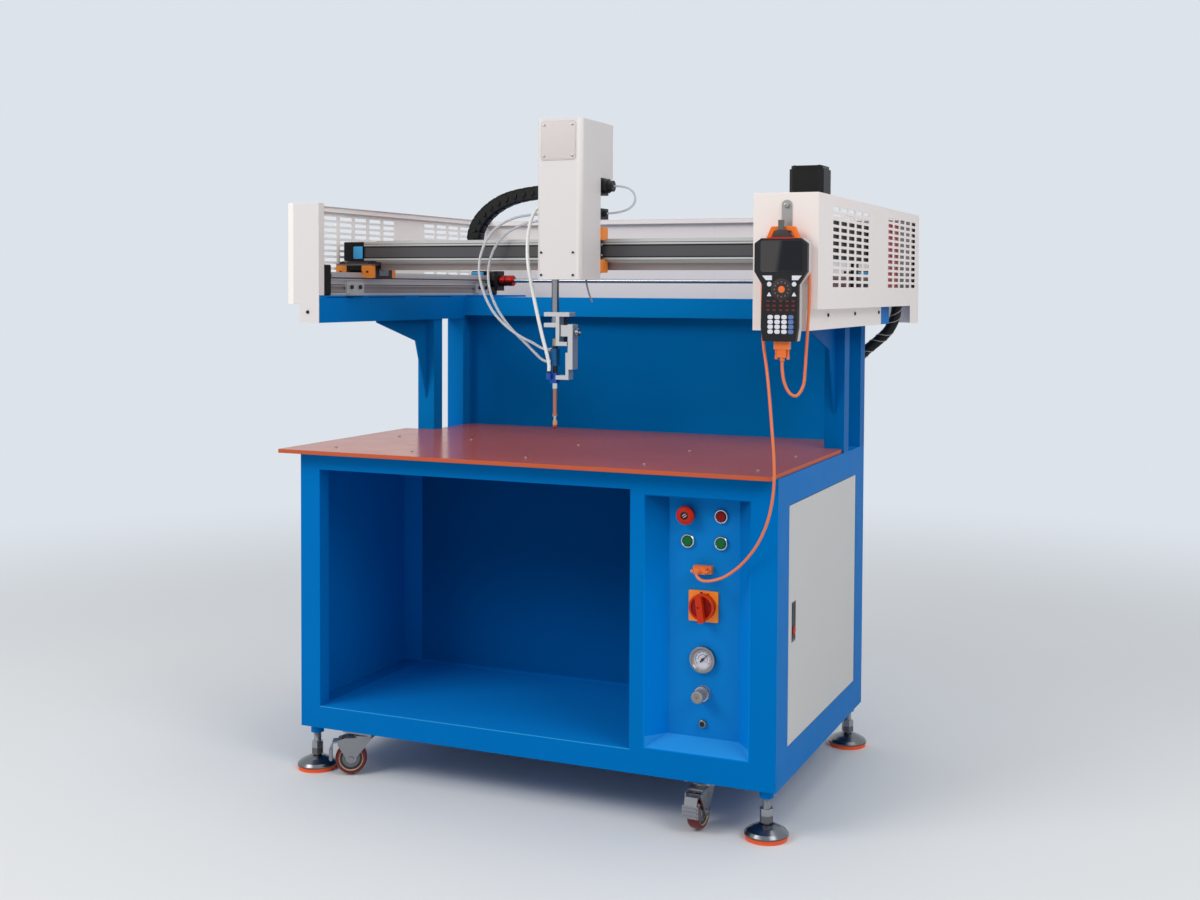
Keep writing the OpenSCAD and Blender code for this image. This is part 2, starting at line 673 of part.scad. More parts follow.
module switch_knob() {
  color([0.8, 0.15, 0.08]) place() {
    rod([column_x, panel_y - 16, switch_z], [column_x, panel_y - 5 - gap, switch_z], 56);
    rod([column_x, panel_y - 8, switch_z], [column_x, panel_y + 26, switch_z], 12);
    translate([column_x, 0, switch_z]) rotate([0, -8, 0])
      slab([-7, panel_y - 32, -31], [7, panel_y - 15, 25], 6);
  }
}

module regulator_knob() {
  color([0.75, 0.76, 0.77]) place() difference() {
    union() {
      rod([column_x, panel_y - 40, regulator_z], [column_x, panel_y - 12 - gap, regulator_z], 26);
      rod([column_x, panel_y - 20, regulator_z], [column_x, panel_y + 22, regulator_z], 10);
    }
    for (a = [0 : 30 : 330])
      translate([column_x, 0, regulator_z]) rotate([0, a, 0])
        rod([13.4, panel_y - 41, 0], [13.4, panel_y - 22, 0], 2.6);
  }
}

// Side door with its lock handle
module side_door() {
  color([0.93, 0.93, 0.92]) place() {
    difference() {
      translate([0, 0, door_z0 + door_gap]) linear_extrude(door_z1 - door_z0 - 2 * door_gap) difference() {
        union() {
          translate([-door_t, door_y0 + door_gap]) square([door_t, door_axis_y - door_y0 - door_gap]);
          translate([-door_t, door_axis_y - 1]) square([door_t - 5, 6]);
          translate([door_axis_x, door_axis_y]) circle(r = 5);
        }
        translate([-door_t - 1, door_y0 + door_gap + 2]) square([door_t - 1, door_axis_y - door_y0 - 22]);
      }
      box([-9, handle_y - handle_w / 2 - 1, handle_z - handle_h / 2 - 1],
        [1, handle_y + handle_w / 2 + 1, handle_z + handle_h / 2 + 1]);
    }
    difference() {
      box([-14, handle_y - handle_w / 2 - 3, handle_z - handle_h / 2 - 3],
        [-1, handle_y + handle_w / 2 + 3, handle_z + handle_h / 2 + 3]);
      box([-11, handle_y - handle_w / 2 - gap, handle_z - handle_h / 2 - gap],
        [1, handle_y + handle_w / 2 + gap, handle_z + handle_h / 2 + gap]);
    }
    rod([-5, handle_y - handle_w / 2 - 2, handle_axis_z],
      [-5, handle_y + handle_w / 2 + 2, handle_axis_z], 4);
    for (z = [door_z0 - 8, door_z1 - 4])
      rod([door_axis_x, door_axis_y, z], [door_axis_x, door_axis_y, z + 12], door_pin);
  }
}

module door_handle() {
  color([0.1, 0.1, 0.11]) place() difference() {
    union() {
      box([-8, handle_y - handle_w / 2, handle_axis_z],
        [0.8, handle_y + handle_w / 2, handle_z + handle_h / 2]);
      rod([-5, handle_y - handle_w / 2, handle_axis_z], [-5, handle_y + handle_w / 2, handle_axis_z], 9);
    }
    rod([-5, handle_y - 20, handle_axis_z], [-5, handle_y + 20, handle_axis_z], 4 + 2 * fit);
    box([-9, handle_y - 8, handle_axis_z + 8], [-2, handle_y + 8, handle_z + handle_h / 2 - 6]);
  }
}

// Hook on the cover's front, and the hand pendant that hangs from it
module pendant_hook() {
  color([0.6, 0.6, 0.6]) place() {
    slab([pend_x - 10.5, cover_front - 2, cover_z - 82], [pend_x + 10.5, cover_front, cover_z - 15], 9);
    box([pend_x - 8, -36, cover_z - 80.5], [pend_x + 4, cover_front - 1, cover_z - 77.5]);
    box([pend_x - 8, -36, cover_z - 80.5], [pend_x + 4, -33, cover_z - 56]);
    rod([pend_x, cover_front - 5, cover_z - 26], [pend_x, cover_front - 1, cover_z - 26], 10);
  }
}

module pendant() {
  handle_bar = cover_z - 77.5;
  color([0.13, 0.13, 0.14]) place() {
    front_plate(pend_front, pend_back, [[pend_x - 36, pend_z], [pend_x + 32, pend_z],
      [pend_x + 36, pend_z + 28],
      [pend_x + 36, pend_z + 112], [pend_x + 54, pend_z + 138], [pend_x + 54, pend_z + 194],
      [pend_x + 40, pend_z + 204], [pend_x - 40, pend_z + 204], [pend_x - 54, pend_z + 194],
      [pend_x - 54, pend_z + 138], [pend_x - 38, pend_z + 112], [pend_x - 40, pend_z + 28]]);
    difference() {
      front_plate(-31, -17, [[pend_x - 36, pend_z + 200], [pend_x + 36, pend_z + 200],
        [pend_x + 24, handle_bar + 9], [pend_x - 24, handle_bar + 9]]);
      front_plate(-32, -16, [[pend_x - 23, pend_z + 206], [pend_x + 23, pend_z + 206],
        [pend_x + 17, handle_bar], [pend_x - 17, handle_bar]]);
    }
  }
}

// Cable plugs: under the pendant and in the panel
module cable_plugs() {
  color([0.95, 0.45, 0.15]) place() {
    box([pend_x - 15.5, -35, pend_z - 16], [pend_x + 15.5, -20, pend_z]);
    box([pend_x - 9, -33, pend_z - 32], [pend_x + 9, -22, pend_z - 15]);
    rod([pend_x, -27, pend_z - 40], [pend_x, -27, pend_z - 31], 9);
    for (s = [-1, 1]) rod([pend_x + s * 12, -27, pend_z - 34], [pend_x + s * 12, -27, pend_z - 15], 5);
    box([column_x - 20, panel_y - 14, plug_z - 8], [column_x + 20, panel_y, plug_z + 8]);
    box([column_x - 13, panel_y - 31, plug_z - 6], [column_x + 13, panel_y - 13, plug_z + 6]);
    rod([column_x, panel_y - 40, plug_z], [column_x, panel_y - 30, plug_z], 9);
    for (s = [-1, 1])
      rod([column_x + s * 16, panel_y - 32, plug_z], [column_x + s * 16, panel_y - 13, plug_z], 5);
  }
}

module pendant_cable() {
  color([0.95, 0.45, 0.15]) place() tube(cable_route, 6, 2, 8);
}

// Carriages on the side modules, with their adapter plates
module y_carriages() {
  color([0.1, 0.1, 0.11]) place() for (x = [mod_lx, mod_rx]) {
    difference() {
      union() {
        box([x - car_w / 2, car_y + 15, car_z0], [x + car_w / 2, car_y + car_l - 15, car_z1]);
        box([x - 21, car_y, car_z1 - 12], [x + 21, car_y + car_l, car_z1]);
      }
      rail_groove(x, car_y - 1, car_y + car_l + 1, fit);
    }
    box([x - car_w / 2, bridge_y + 14, car_z1 - 0.01], [x + car_w / 2, car_y + car_l, bridge_z]);
    box([x - car_w / 2, car_y, car_z1 - 0.01], [x + car_w / 2, bridge_y + 15, bridge_z - 7]);
    for (s = [-1, 1]) rod([x + s * 11, car_y - 1, car_z1 - 6], [x + s * 11, car_y + 1, car_z1 - 6], 6);
  }
}

module rail_groove(x, y0, y1, f) {
  box([x - mod_w / 2 - gap, y0, car_z0 - 1], [x + mod_w / 2 + gap, y1, beam_top + mod_h + 3]);
  box([x - mod_w / 2 - rail_t - f, y0, beam_top + mod_h - 12 - f],
    [x + mod_w / 2 + rail_t + f, y1, beam_top + mod_h - 12 + rail_hh + f]);
}

module y_wipers() {
  color([0.95, 0.5, 0.15]) place() for (x = [mod_lx, mod_rx], s = [-1, 1], y = [car_y, car_y + car_l - 15])
    difference() {
      slab([x + s * 36.2 - 14.8, y, car_z0], [x + s * 36.2 + 14.8, y + 15, car_z1], 2);
      rail_groove(x, y - 1, y + 16, 0.3);
    }
}

// Moving bridge: the cross module with its rails and stiffener
module x_module() {
  color([0.7, 0.7, 0.71]) place() {
    difference() {
      box([bridge_x0, bridge_y, bridge_z], [bridge_x1, bridge_y + mod_h, bridge_z + mod_w]);
      box([bridge_x0 - 1, bridge_y - 1, bridge_z + 7], [bridge_x1 + 1, bridge_y + 2, bridge_z + mod_w - 12]);
      for (z = [bridge_z + mod_w - 3, bridge_z - 1], y = [20, 38])
        box([bridge_x0 - 1, bridge_y + y, z], [bridge_x1 + 1, bridge_y + y + 6, z + 4]);
    }
    for (z = [[bridge_z - lip_t, bridge_z + 0.5], [bridge_z + mod_w - 0.5, bridge_z + mod_w + lip_t]])
      box([bridge_x0 + 33, bridge_y + 4, z[0]], [bridge_x1 - 33, bridge_y + 4 + rail_hh, z[1]]);
    box([bridge_x0 + 34, bridge_y + 22, bridge_z - 21.5], [bridge_x1 - 34, bridge_y + 52, bridge_z + 0.5]);
    // foot of the energy chain, on the module's back
    box([-659, bridge_y + mod_h - 1, bridge_z - 12], [-632, bridge_y + mod_h + 5.7, bridge_z + 10]);
  }
}

// Ends of the bridge: pulley housings and the upright motor
module x_drive() {
  color([0.07, 0.07, 0.08]) place() {
    slab([bridge_x0 - 57, bridge_y, bridge_z], [bridge_x0, bridge_y + mod_h, bridge_z + mod_w], 3);
    slab([bridge_x0 - 27, bridge_y - 3, bridge_z + 6],
      [bridge_x0 - 1, bridge_y + 1, bridge_z + mod_w - 12], 3);
    slab([bridge_x1, bridge_y, bridge_z], [bridge_x1 + 57, bridge_y + mod_h, bridge_z + mod_w], 3);
    motor();
  }
}

module motor() {
  x = -4.5;
  y = bridge_y + 37;
  h = motor_w / 2;
  z = bridge_z + mod_w;
  box([x - h, y - h, z - 0.01], [x + h, y + h, z + 7.99]);
  translate([0, 0, z + 7]) linear_extrude(motor_h - 14) polygon(corners(x, y, h, 9));
  translate([0, 0, z + motor_h - 7.5]) linear_extrude(7.5) polygon(corners(x, y, h - 3, 9));
  box([x - 12, y + h - 1, z + 20], [x + 12, y + h + 9, z + 60]);
}

function corners(x, y, h, c) = [[x - h + c, y - h], [x + h - c, y - h],
  [x + h, y - h + c], [x + h, y + h - c],
  [x + h - c, y + h], [x - h + c, y + h], [x - h, y + h - c], [x - h, y - h + c]];

// Carriage on the bridge, with the back plate, rod guide and cable gland of the head
module x_carriage() {
  color([0.1, 0.1, 0.11]) place() {
    difference() {
      union() {
        box([head_x - 38, block_y - 1, bridge_zc - car_w / 2],
          [head_x + 38, bridge_y + 13, bridge_zc + car_w / 2]);
        box([head_x - 53, bridge_y - 17, bridge_zc - 21], [head_x + 53, bridge_y - 5, bridge_zc + 21]);
      }
      bridge_groove(head_x - 54, head_x + 54, fit);
    }
    box([head_x0 + cover_t + gap, plate_y, head_z], [head_x1 - cover_t - gap, block_y, head_step - 2]);
    rod_guide();
    // hose block and chain arm at the left, gland block at the right
    box([head_x0 - 6, block_y, head_z + 126], [head_x0 + 20, plate_y + 24, head_z + 184]);
    for (z = [136, 148, 173]) rod([head_x0 - 12, plate_y + 14, head_z + z],
      [head_x0 - 5, plate_y + 14, head_z + z], 9);
    box([head_x0 - 9.2, block_y, head_z + 186], [head_x0 + 20, plate_y + 120, head_z + 192]);
    box([head_x0 - 9.2, plate_y + 88, head_z + 191], [head_x0 + 12, plate_y + 120, head_z + 224]);
    box([head_x1 - 22, block_y, head_z + 136], [head_x1 + 1, plate_y + 48, head_z + 160]);
    box([head_x1 - 22, block_y, head_z + 190], [head_x1 + 1, plate_y + 48, head_step - 2]);
    rod([head_x1, plate_y + 27, head_z + 210], [head_x1 + 12, plate_y + 27, head_z + 210], 32);
    rod([head_x1 + 11, plate_y + 27, head_z + 210], [head_x1 + 23, plate_y + 27, head_z + 210], 25);
    rod([head_x1, plate_y + 27, head_z + 149], [head_x1 + 7, plate_y + 27, head_z + 149], 14);
  }
}

module bridge_groove(x0, x1, f) {
  box([x0, bridge_y - 4, bridge_z - gap], [x1, bridge_y + 14, bridge_z + mod_w + gap]);
  box([x0, bridge_y + 4 - f, bridge_z - lip_t - f],
    [x1, bridge_y + 4 + rail_hh + f, bridge_z + mod_w + lip_t + f]);
}

module rod_guide() {
  difference() {
    box([rod_x - 16, rod_y - 18, head_z + 6], [rod_x + 16, plate_y + 1, head_z + 150]);
    rod([rod_x, rod_y, head_z], [rod_x, rod_y, head_z + 160], rod_d + 2 * fit);
  }
}

module x_wipers() {
  color([0.95, 0.5, 0.15]) place() for (x = [head_x - 60, head_x + 38], s = [-1, 1])
    difference() {
      slab_x([x, bridge_y - 17, bridge_zc + s * 36.2 - 14.8],
        [x + 22, bridge_y + 13, bridge_zc + s * 36.2 + 14.8]);
      bridge_groove(x - 1, x + 23, 0.3);
    }
}

module slab_x(a, b) {
  translate([a[0], 0, 0]) rotate([90, 0, 90])
    linear_extrude(b[0] - a[0]) round_rect(a[1], a[2], b[1], b[2], 3);
}

// Sheet cover of the head: open below and behind, deeper at the top
module head_cover() {
  color([0.92, 0.91, 0.89]) place() difference() {
    head_form(0, 0);
    head_form(cover_t, 6);
    box([rod_x - 22, rod_y - 24, head_z - 1], [rod_x + 22, plate_y + 8, head_z + 7]);
    box([head_x0 + cover_t, plate_y - gap, head_z - 1], [head_x1 - cover_t, plate_y + 8, head_z + 7]);
  }
}

module head_form(t, low) {
  // the outside, or the room inside with the sheet's thickness t taken off
  y1 = head_y + 167 - t;
  back = block_y + (t > 0 ? 1 : 0);
  intersection() {
    side_plate(head_x0 + t, head_x1 - t, [[head_y + t, head_z + low], [back, head_z + low],
      [back, head_step + t], [y1, head_step + t], [y1, head_top - t], [head_y + t, head_top - t]]);
    translate([0, 0, head_z - 1]) linear_extrude(head_h + 2) {
      translate([head_x0 + t, head_y + head_r]) square([head_w - 2 * t, y1 - head_y]);
      translate([head_x0 + head_r, head_y + t]) square([head_w - 2 * head_r, head_r]);
      for (x = [head_x0 + head_r, head_x1 - head_r]) translate([x, head_y + head_r]) circle(r = head_r - t);
    }
  }
}

// Energy chain: links in one plane behind the bridge, narrower at their pins
module drag_chain() {
  p = route(chain_route, 2);
  t = along(p);
  n = len(p) - 1;
  color([0.06, 0.06, 0.07]) place() {
    outline = concat(chain_edge(p, t, n, 1), mirrored(chain_edge(p, t, n, -1)));
    front_plate(255, 289, [for (q = outline) [q[0], q[2]]]);
    for (i = [1 : n - 1]) rod([p[i][0], 253, p[i][2]], [p[i][0], 291, p[i][2]], 18);
  }
}

// one side of the chain's outline, and a list from its end to its start
function across(v) = [-v[2], 0, v[0]];
function chain_edge(p, t, n, s) = [for (i = [0 : n]) each concat([p[i] + s * 12.5 * across(t[i])],
  i == n ? [] : [for (f = [0.22, 0.78])
    p[i] + f * (p[i + 1] - p[i]) + s * 15 * across(unit(p[i + 1] - p[i]))])];
function mirrored(q) = [for (i = [len(q) - 1 : -1 : 0]) q[i]];

module loop_tube() {
  color([0.9, 0.91, 0.92]) place() tube(loop_route, 5, 2, 8);
}

module air_hose_a() {
  color([0.88, 0.9, 0.92]) place() tube(hose_a_route, 6, 3, 8);
}

module air_hose_b() {
  color([0.88, 0.9, 0.92]) place() tube(hose_b_route, 6, 3, 8);
}

module glue_hose() {
  color([0.95, 0.95, 0.93]) place() tube(glue_route, 8, 3, 8);
}

// Lifting rod and the bracket clamped to it
module lift_rod() {
  color([0.75, 0.76, 0.77]) place() rod([rod_x, rod_y, rod_z], [rod_x, rod_y, head_z + 200], rod_d);
}

module lift_bracket() {
  color([0.8, 0.8, 0.81]) place() {
    difference() {
      union() {
        box([rod_x - 20.5, rod_y - 16, clamp_z], [rod_x + 41.8, rod_y + 16, clamp_z + 9.3]);
        box([rod_x - 20.5, rod_y - 16, clamp_z - 24], [rod_x + 9, rod_y + 16, clamp_z - 14.5]);
        box([rod_x + 8.5, rod_y - 16, clamp_z - 61], [rod_x + 17.5, rod_y + 16, clamp_z + 1]);
        box([rod_x + 17, rod_y - 16, clamp_z - 65], [rod_x + 36, rod_y + 16, clamp_z - 56]);
        box([rod_x + 8.5, rod_y - 16, clamp_z - 65], [rod_x + 18, rod_y + 16, clamp_z - 60]);
      }
      rod([rod_x, rod_y, clamp_z - 30], [rod_x, rod_y, clamp_z + 20], rod_d);
      box([rod_x - 21, rod_y - 0.8, clamp_z - 30], [rod_x, rod_y + 0.8, clamp_z + 20]);
    }
    rod([rod_x + 25, rod_y, clamp_z - 57], [rod_x + 25, rod_y, clamp_z + 1], 8);
  }
}

// Fine slide on the bracket's screw, with the arm that holds the valve
module fine_slide() {
  color([0.82, 0.82, 0.83]) place() {
    difference() {
      box([rod_x + 19, rod_y - 12, clamp_z - 44], [rod_x + 38, rod_y + 12, clamp_z - 19]);
      rod([rod_x + 25, rod_y, clamp_z - 45], [rod_x + 25, rod_y, clamp_z - 18], 8 + 2 * fit);
    }
    box([rod_x + 37.5, rod_y - 14, clamp_z - 117], [rod_x + 49, rod_y + 14, clamp_z - 17]);
    box([rod_x + 31, rod_y - 12, clamp_z - 140], [rod_x + 38.5, rod_y + 12, clamp_z - 80]);
    box([rod_x + 7, rod_y - 12, clamp_z - 140], [rod_x + 38.5, rod_y + 12, clamp_z - 131]);
    rod([rod_x + 48, rod_y, clamp_z - 35], [rod_x + 62, rod_y, clamp_z - 35], 5);
  }
}

module fine_knob() {
  color([0.7, 0.71, 0.72]) place() difference() {
    rod([rod_x + 49 + gap, rod_y, clamp_z - 35], [rod_x + 59, rod_y, clamp_z - 35], 18);
    rod([rod_x + 48, rod_y, clamp_z - 35], [rod_x + 63, rod_y, clamp_z - 35], 5 + 2 * fit);
    for (a = [0 : 30 : 330])
      translate([0, rod_y, clamp_z - 35]) rotate([a, 0, 0])
        rod([rod_x + 48, 9.4, 0], [rod_x + 60, 9.4, 0], 2);
  }
}

// Dispensing valve, its stroke knob and nozzle
module valve() {
  color([0.1, 0.4, 0.8]) place() {
    box([rod_x - 7, rod_y - 9, valve_z - 38], [rod_x + 7, rod_y + 9, valve_z]);
    rod([rod_x, rod_y, valve_z - 60], [rod_x, rod_y, valve_z - 37], 12);
    box([rod_x - 9, rod_y - 9, valve_z - 77], [rod_x + 7, rod_y + 9, valve_z - 54]);
    difference() {
      rod([rod_x, rod_y, valve_z - 1], [rod_x, rod_y, valve_z + 6], 11);
      rod([rod_x, rod_y, valve_z], [rod_x, rod_y, valve_z + 7], 6 + 2 * fit);
    }
    for (z = [-2, -28]) rod([rod_x - 13, rod_y, valve_z + z - 1], [rod_x - 6, rod_y, valve_z + z - 1], 9);
    rod([rod_x - 8.5, rod_y - 14, valve_z - 68], [rod_x - 8.5, rod_y - 14, valve_z - 50], 11);
    rod([rod_x - 8.5, rod_y - 14, valve_z - 62], [rod_x - 8.5, rod_y, valve_z - 62], 8);
  }
}

module stroke_knob() {
  color([0.65, 0.6, 0.5]) place() {
    rod([rod_x, rod_y, valve_z + 6 + gap], [rod_x, rod_y, valve_z + 22], 12);
    rod([rod_x, rod_y, valve_z + 0.4], [rod_x, rod_y, valve_z + 8], 6);
  }
}

module nozzle() {
  h = tube_z - nozzle_l;
  color([0.8, 0.5, 0.38]) place() {
    rod([rod_x, rod_y, tube_z - 1], [rod_x, rod_y, valve_z - 77], 11);
    rod([rod_x, rod_y, h - 1], [rod_x, rod_y, tube_z], nozzle_d);
    rod([rod_x, rod_y, h - 7], [rod_x, rod_y, h], 11);
    rod([rod_x, rod_y, h - 17], [rod_x, rod_y, h - 6], 6);
    translate([rod_x, rod_y, h - 26]) cylinder(d = 11, h = 10, $fn = 6);
    translate([rod_x, rod_y, h - 34]) rotate_extrude() polygon([[0, 0], [2, 0], [5, 4], [4, 9], [0, 9]]);
  }
}

// Shaft that links the two side modules, with its couplings
module sync_shaft() {
  color([0.7, 0.71, 0.72]) place() {
    rod([mod_lx + 42, shaft_y, shaft_z], [mod_rx - 42, shaft_y, shaft_z], 12);
    for (x = [mod_lx + 54 + gap, mod_rx - 96 - gap]) {
      rod([x, shaft_y, shaft_z], [x + 42, shaft_y, shaft_z], 26);
      for (a = [2, 24]) rod([x + a, shaft_y, shaft_z], [x + a + 16, shaft_y, shaft_z], 30);
    }
  }
}

// Levelling feet
module foot(x, y) {
  place() translate([x, y, 0]) {
    rod([0, 0, -74], [0, 0, 24], 17);
    translate([0, 0, -69]) cylinder(d = 28.5, h = 29, $fn = 6);
    translate([0, 0, floor_z]) rotate_extrude($fn = 48) polygon([[0, 0], [foot_d / 2 - 2, 0],
      [foot_d / 2 - 2, 8], [foot_d / 2, 8], [foot_d / 2, 12], [foot_d / 2 - 5, 18], [foot_d / 2 - 18, 25],
      [foot_d / 2 - 30, 30], [0, 31]]);
  }
}

module foot_fl() {
  color([0.75, 0.76, 0.78]) foot(left + foot_in_x, foot_in_y);
}

module foot_fr() {
  color([0.75, 0.76, 0.78]) foot(-foot_in_x, foot_in_y);
}

module foot_rl() {
  color([0.75, 0.76, 0.78]) foot(left + foot_in_x, cab_d - foot_in_y);
}

module foot_rr() {
  color([0.75, 0.76, 0.78]) foot(-foot_in_x, cab_d - foot_in_y);
}

// Swivel casters: mounting plates, forks, wheels and the front brake pedals
function caster_x(i) = i % 2 == 0 ? left + caster_in_l : -caster_in_r;
function caster_y(i) = i == 0 ? caster_in_fl : i == 1 ? caster_in_y : cab_d - caster_in_y;
function caster_turn(i) = [turn_fl, turn_fr, turn_rl, turn_rr][i];

module at_caster(i) {
  place() translate([caster_x(i), caster_y(i), 0]) rotate([0, 0, caster_turn(i)])
    mirror([1, 0, 0]) children();
}

module caster_plates() {
  color([0.7, 0.7, 0.72]) for (i = [0 : 3]) place() translate([caster_x(i), caster_y(i), 0]) {
    box([-38, -32, -3], [38, 32, 0]);
    rod([0, 0, -9], [0, 0, -2], 40);
    rod([0, 0, -20], [0, 0, -8], 12);
    for (x = [-30, 30], y = [-24, 24]) translate([x, y, -7]) cylinder(d = 11, h = 4.5, $fn = 6);
  }
}

module fork(i) {
  color([0.68, 0.69, 0.71]) at_caster(i) {
    difference() {
      union() {
        rod([0, 0, -15], [0, 0, -9.3], 50);
        box([-20, -wheel_w / 2 - 6, -18], [44, wheel_w / 2 + 6, -14.5]);
      }
      rod([0, 0, -19], [0, 0, -9], 12 + 2 * fit);
    }
    for (s = [-1, 1]) translate([0, s * (wheel_w / 2 + 4.5) + 1.5, 0]) rotate([90, 0, 0]) linear_extrude(3) {
      polygon([[-20, -14.5], [44, -14.5], [60, -20], [60, -30], [44, wheel_z + 8], [caster_off + 9, wheel_z],
        [caster_off - 9, wheel_z]]);
      translate([caster_off, wheel_z]) circle(d = 18);
    }
    rod([caster_off, -wheel_w / 2 - 8, wheel_z], [caster_off, wheel_w / 2 + 8, wheel_z], axle_d);
    for (s = [-1, 1]) translate([caster_off, s * (wheel_w / 2 + 8) + 2.5, wheel_z]) rotate([90, 0, 0])
      cylinder(d = 14, h = 5, $fn = 6);
    if (i < 2) rod([pedal_r, -wheel_w / 2 - 4, pedal_z], [pedal_r, wheel_w / 2 + 4, pedal_z], 5);
  }
}

module wheel(i) {
  h = wheel_w / 2;
  r = wheel_d / 2;
  color([0.45, 0.12, 0.1]) at_caster(i) translate([caster_off, 0, wheel_z]) rotate([90, 0, 0])
   rotate_extrude($fn = 48)
    polygon([[axle_d / 2 + fit, -h - 2], [10, -h - 2], [10, -h + 3], [r - 11, -h + 3], [r - 9, -h],
      [r - 3, -h],
      [r - 0.5, -h + 4], [r, 0], [r - 0.5, h - 4], [r - 3, h], [r - 9, h], [r - 11, h - 3], [10, h - 3],
      [10, h + 2],
      [axle_d / 2 + fit, h + 2]]);
}

module pedal(i) {
  w = wheel_w / 2 + 1;
  color([0.66, 0.67, 0.69]) at_caster(i) difference() {
    union() {
      rod([pedal_r, -w, pedal_z], [pedal_r, w, pedal_z], 9);
      translate([0, w, 0]) rotate([90, 0, 0]) linear_extrude(2 * w)
        polygon([[pedal_r, pedal_z + 4.5], [pedal_r + 18, pedal_z + 3], [pedal_r + 23, pedal_z - 14],
          [pedal_r + 23, pedal_z - 40], [pedal_r + 20, pedal_z - 40], [pedal_r + 20, pedal_z - 14],
          [pedal_r + 15, pedal_z - 1], [pedal_r, pedal_z]]);
      box([pedal_r + 19, -w - 4, pedal_z - 40], [pedal_r + 24, w + 4, pedal_z - 13]);
      for (z = [-38, -30, -22])
        box([pedal_r + 23, -w - 1, pedal_z + z], [pedal_r + 26, w + 1, pedal_z + z + 4]);
    }
    rod([pedal_r, -w - 1, pedal_z], [pedal_r, w + 1, pedal_z], 5 + 2 * fit);
  }
}

module fork_fl() { fork(0); }
module fork_fr() { fork(1); }
module fork_rl() { fork(2); }
module fork_rr() { fork(3); }
module wheel_fl() { wheel(0); }
module wheel_fr() { wheel(1); }
module wheel_rl() { wheel(2); }
module wheel_rr() { wheel(3); }
module pedal_fl() { pedal(0); }
module pedal_fr() { pedal(1); }

cabinet();
control_panel();
tabletop();
gantry_frame();
left_cover();
right_cover();
y_modules();
y_drive_ends();
junction_box();
conduit();
caster_plates();
panel_fittings();
switch_plate();
pendant_hook();
pendant();
cable_plugs();
pendant_cable();
side_door();
door_handle();
estop_button();
stop_button();
start_button();
reset_button();
switch_knob();
regulator_knob();
gauge_needle();
sync_shaft();
y_carriages();
y_wipers();
x_module();
x_drive();
x_carriage();
x_wipers();
head_cover();
drag_chain();
loop_tube();
air_hose_a();
air_hose_b();
glue_hose();
lift_rod();
lift_bracket();
fine_slide();
fine_knob();
valve();
nozzle();
stroke_knob();
foot_fl();
foot_fr();
foot_rl();
foot_rr();
fork_fl();
fork_fr();
fork_rl();
fork_rr();
wheel_fl();
wheel_fr();
wheel_rl();
wheel_rr();
pedal_fl();
pedal_fr();
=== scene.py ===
import math

import bpy
from mathutils import Matrix, Vector


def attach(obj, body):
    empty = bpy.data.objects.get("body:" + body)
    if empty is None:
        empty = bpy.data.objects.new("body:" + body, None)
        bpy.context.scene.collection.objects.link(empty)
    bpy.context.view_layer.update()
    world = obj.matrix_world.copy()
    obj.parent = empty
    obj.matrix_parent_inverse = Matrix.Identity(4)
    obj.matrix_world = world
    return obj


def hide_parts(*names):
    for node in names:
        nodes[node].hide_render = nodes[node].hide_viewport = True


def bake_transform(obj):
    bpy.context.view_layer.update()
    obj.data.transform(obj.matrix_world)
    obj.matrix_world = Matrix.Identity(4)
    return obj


# Cabinet glue dispensing machine, dressed over its CAD frame.
# Places are written as on the machine, in millimetres: X from the cabinet's right side,
# Y from its front, Z from its underside. at() carries them to the frame, in metres.

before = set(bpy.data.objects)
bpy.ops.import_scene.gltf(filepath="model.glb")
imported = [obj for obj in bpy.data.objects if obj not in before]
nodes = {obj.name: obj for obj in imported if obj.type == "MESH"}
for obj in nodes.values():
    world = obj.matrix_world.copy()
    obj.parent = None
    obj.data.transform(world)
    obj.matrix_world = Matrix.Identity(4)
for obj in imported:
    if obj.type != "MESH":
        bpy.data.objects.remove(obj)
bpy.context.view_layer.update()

SHIFT = Vector((555.25, -464.75, 103.0))
ALONG_X, ALONG_Y, ALONG_Z = Vector((1, 0, 0)), Vector((0, 1, 0)), Vector((0, 0, 1))
front, back, right, leftwards = -ALONG_Y, ALONG_Y, ALONG_X, -ALONG_X

# places that several pieces share: the middles of the side modules and of the bridge, then the panel's
# middle line with what sits on it, the emergency stop and the buttons beside it
MODULES = (-1126, -26)
X_MODULE_Z = 1109
COLUMN = -174
SWITCH_Z, GAUGE_Z, REGULATOR_Z, AIR_SOCKET_Z = 359, 247, 175, 110
STOP_X, STOP_Z = -210, 550
BUTTONS = {"stop": (-136, 550), "start": (-210, 494), "reset": (-136, 494)}


def at(x, y, z):
    return (Vector((x, y, z)) + SHIFT) / 1000


def mm(*lengths):
    return Vector(lengths) / 1000


def srgb(red, green, blue):
    """A colour as seen on a screen, 0 to 255, as the linear colour that shaders use."""
    parts = [c / 255 for c in (red, green, blue)]
    return tuple(c / 12.92 if c <= 0.04045 else ((c + 0.055) / 1.055) ** 2.4 for c in parts) + (1.0,)


# Camera

def stand_camera():
    """The photograph's camera, fitted to the cabinet's straight edges."""
    lens = bpy.data.cameras.new("camera")
    lens.sensor_width = 36
    lens.lens = 43.66
    lens.shift_x = -0.0205
    lens.shift_y = -0.0916
    camera = bpy.data.objects.new("camera", lens)
    bpy.context.scene.collection.objects.link(camera)
    heading, tilt, roll = (math.radians(angle) for angle in (22.91, 87.97, 0.30))
    turn = Matrix.Rotation(heading, 4, "Z") @ Matrix.Rotation(tilt, 4, "X") @ Matrix.Rotation(roll, 4, "Z")
    camera.matrix_world = Matrix.Translation(at(848.9, -2807.8, 1022.9)) @ turn
    bpy.context.scene.camera = camera


stand_camera()


# Shaping by hand

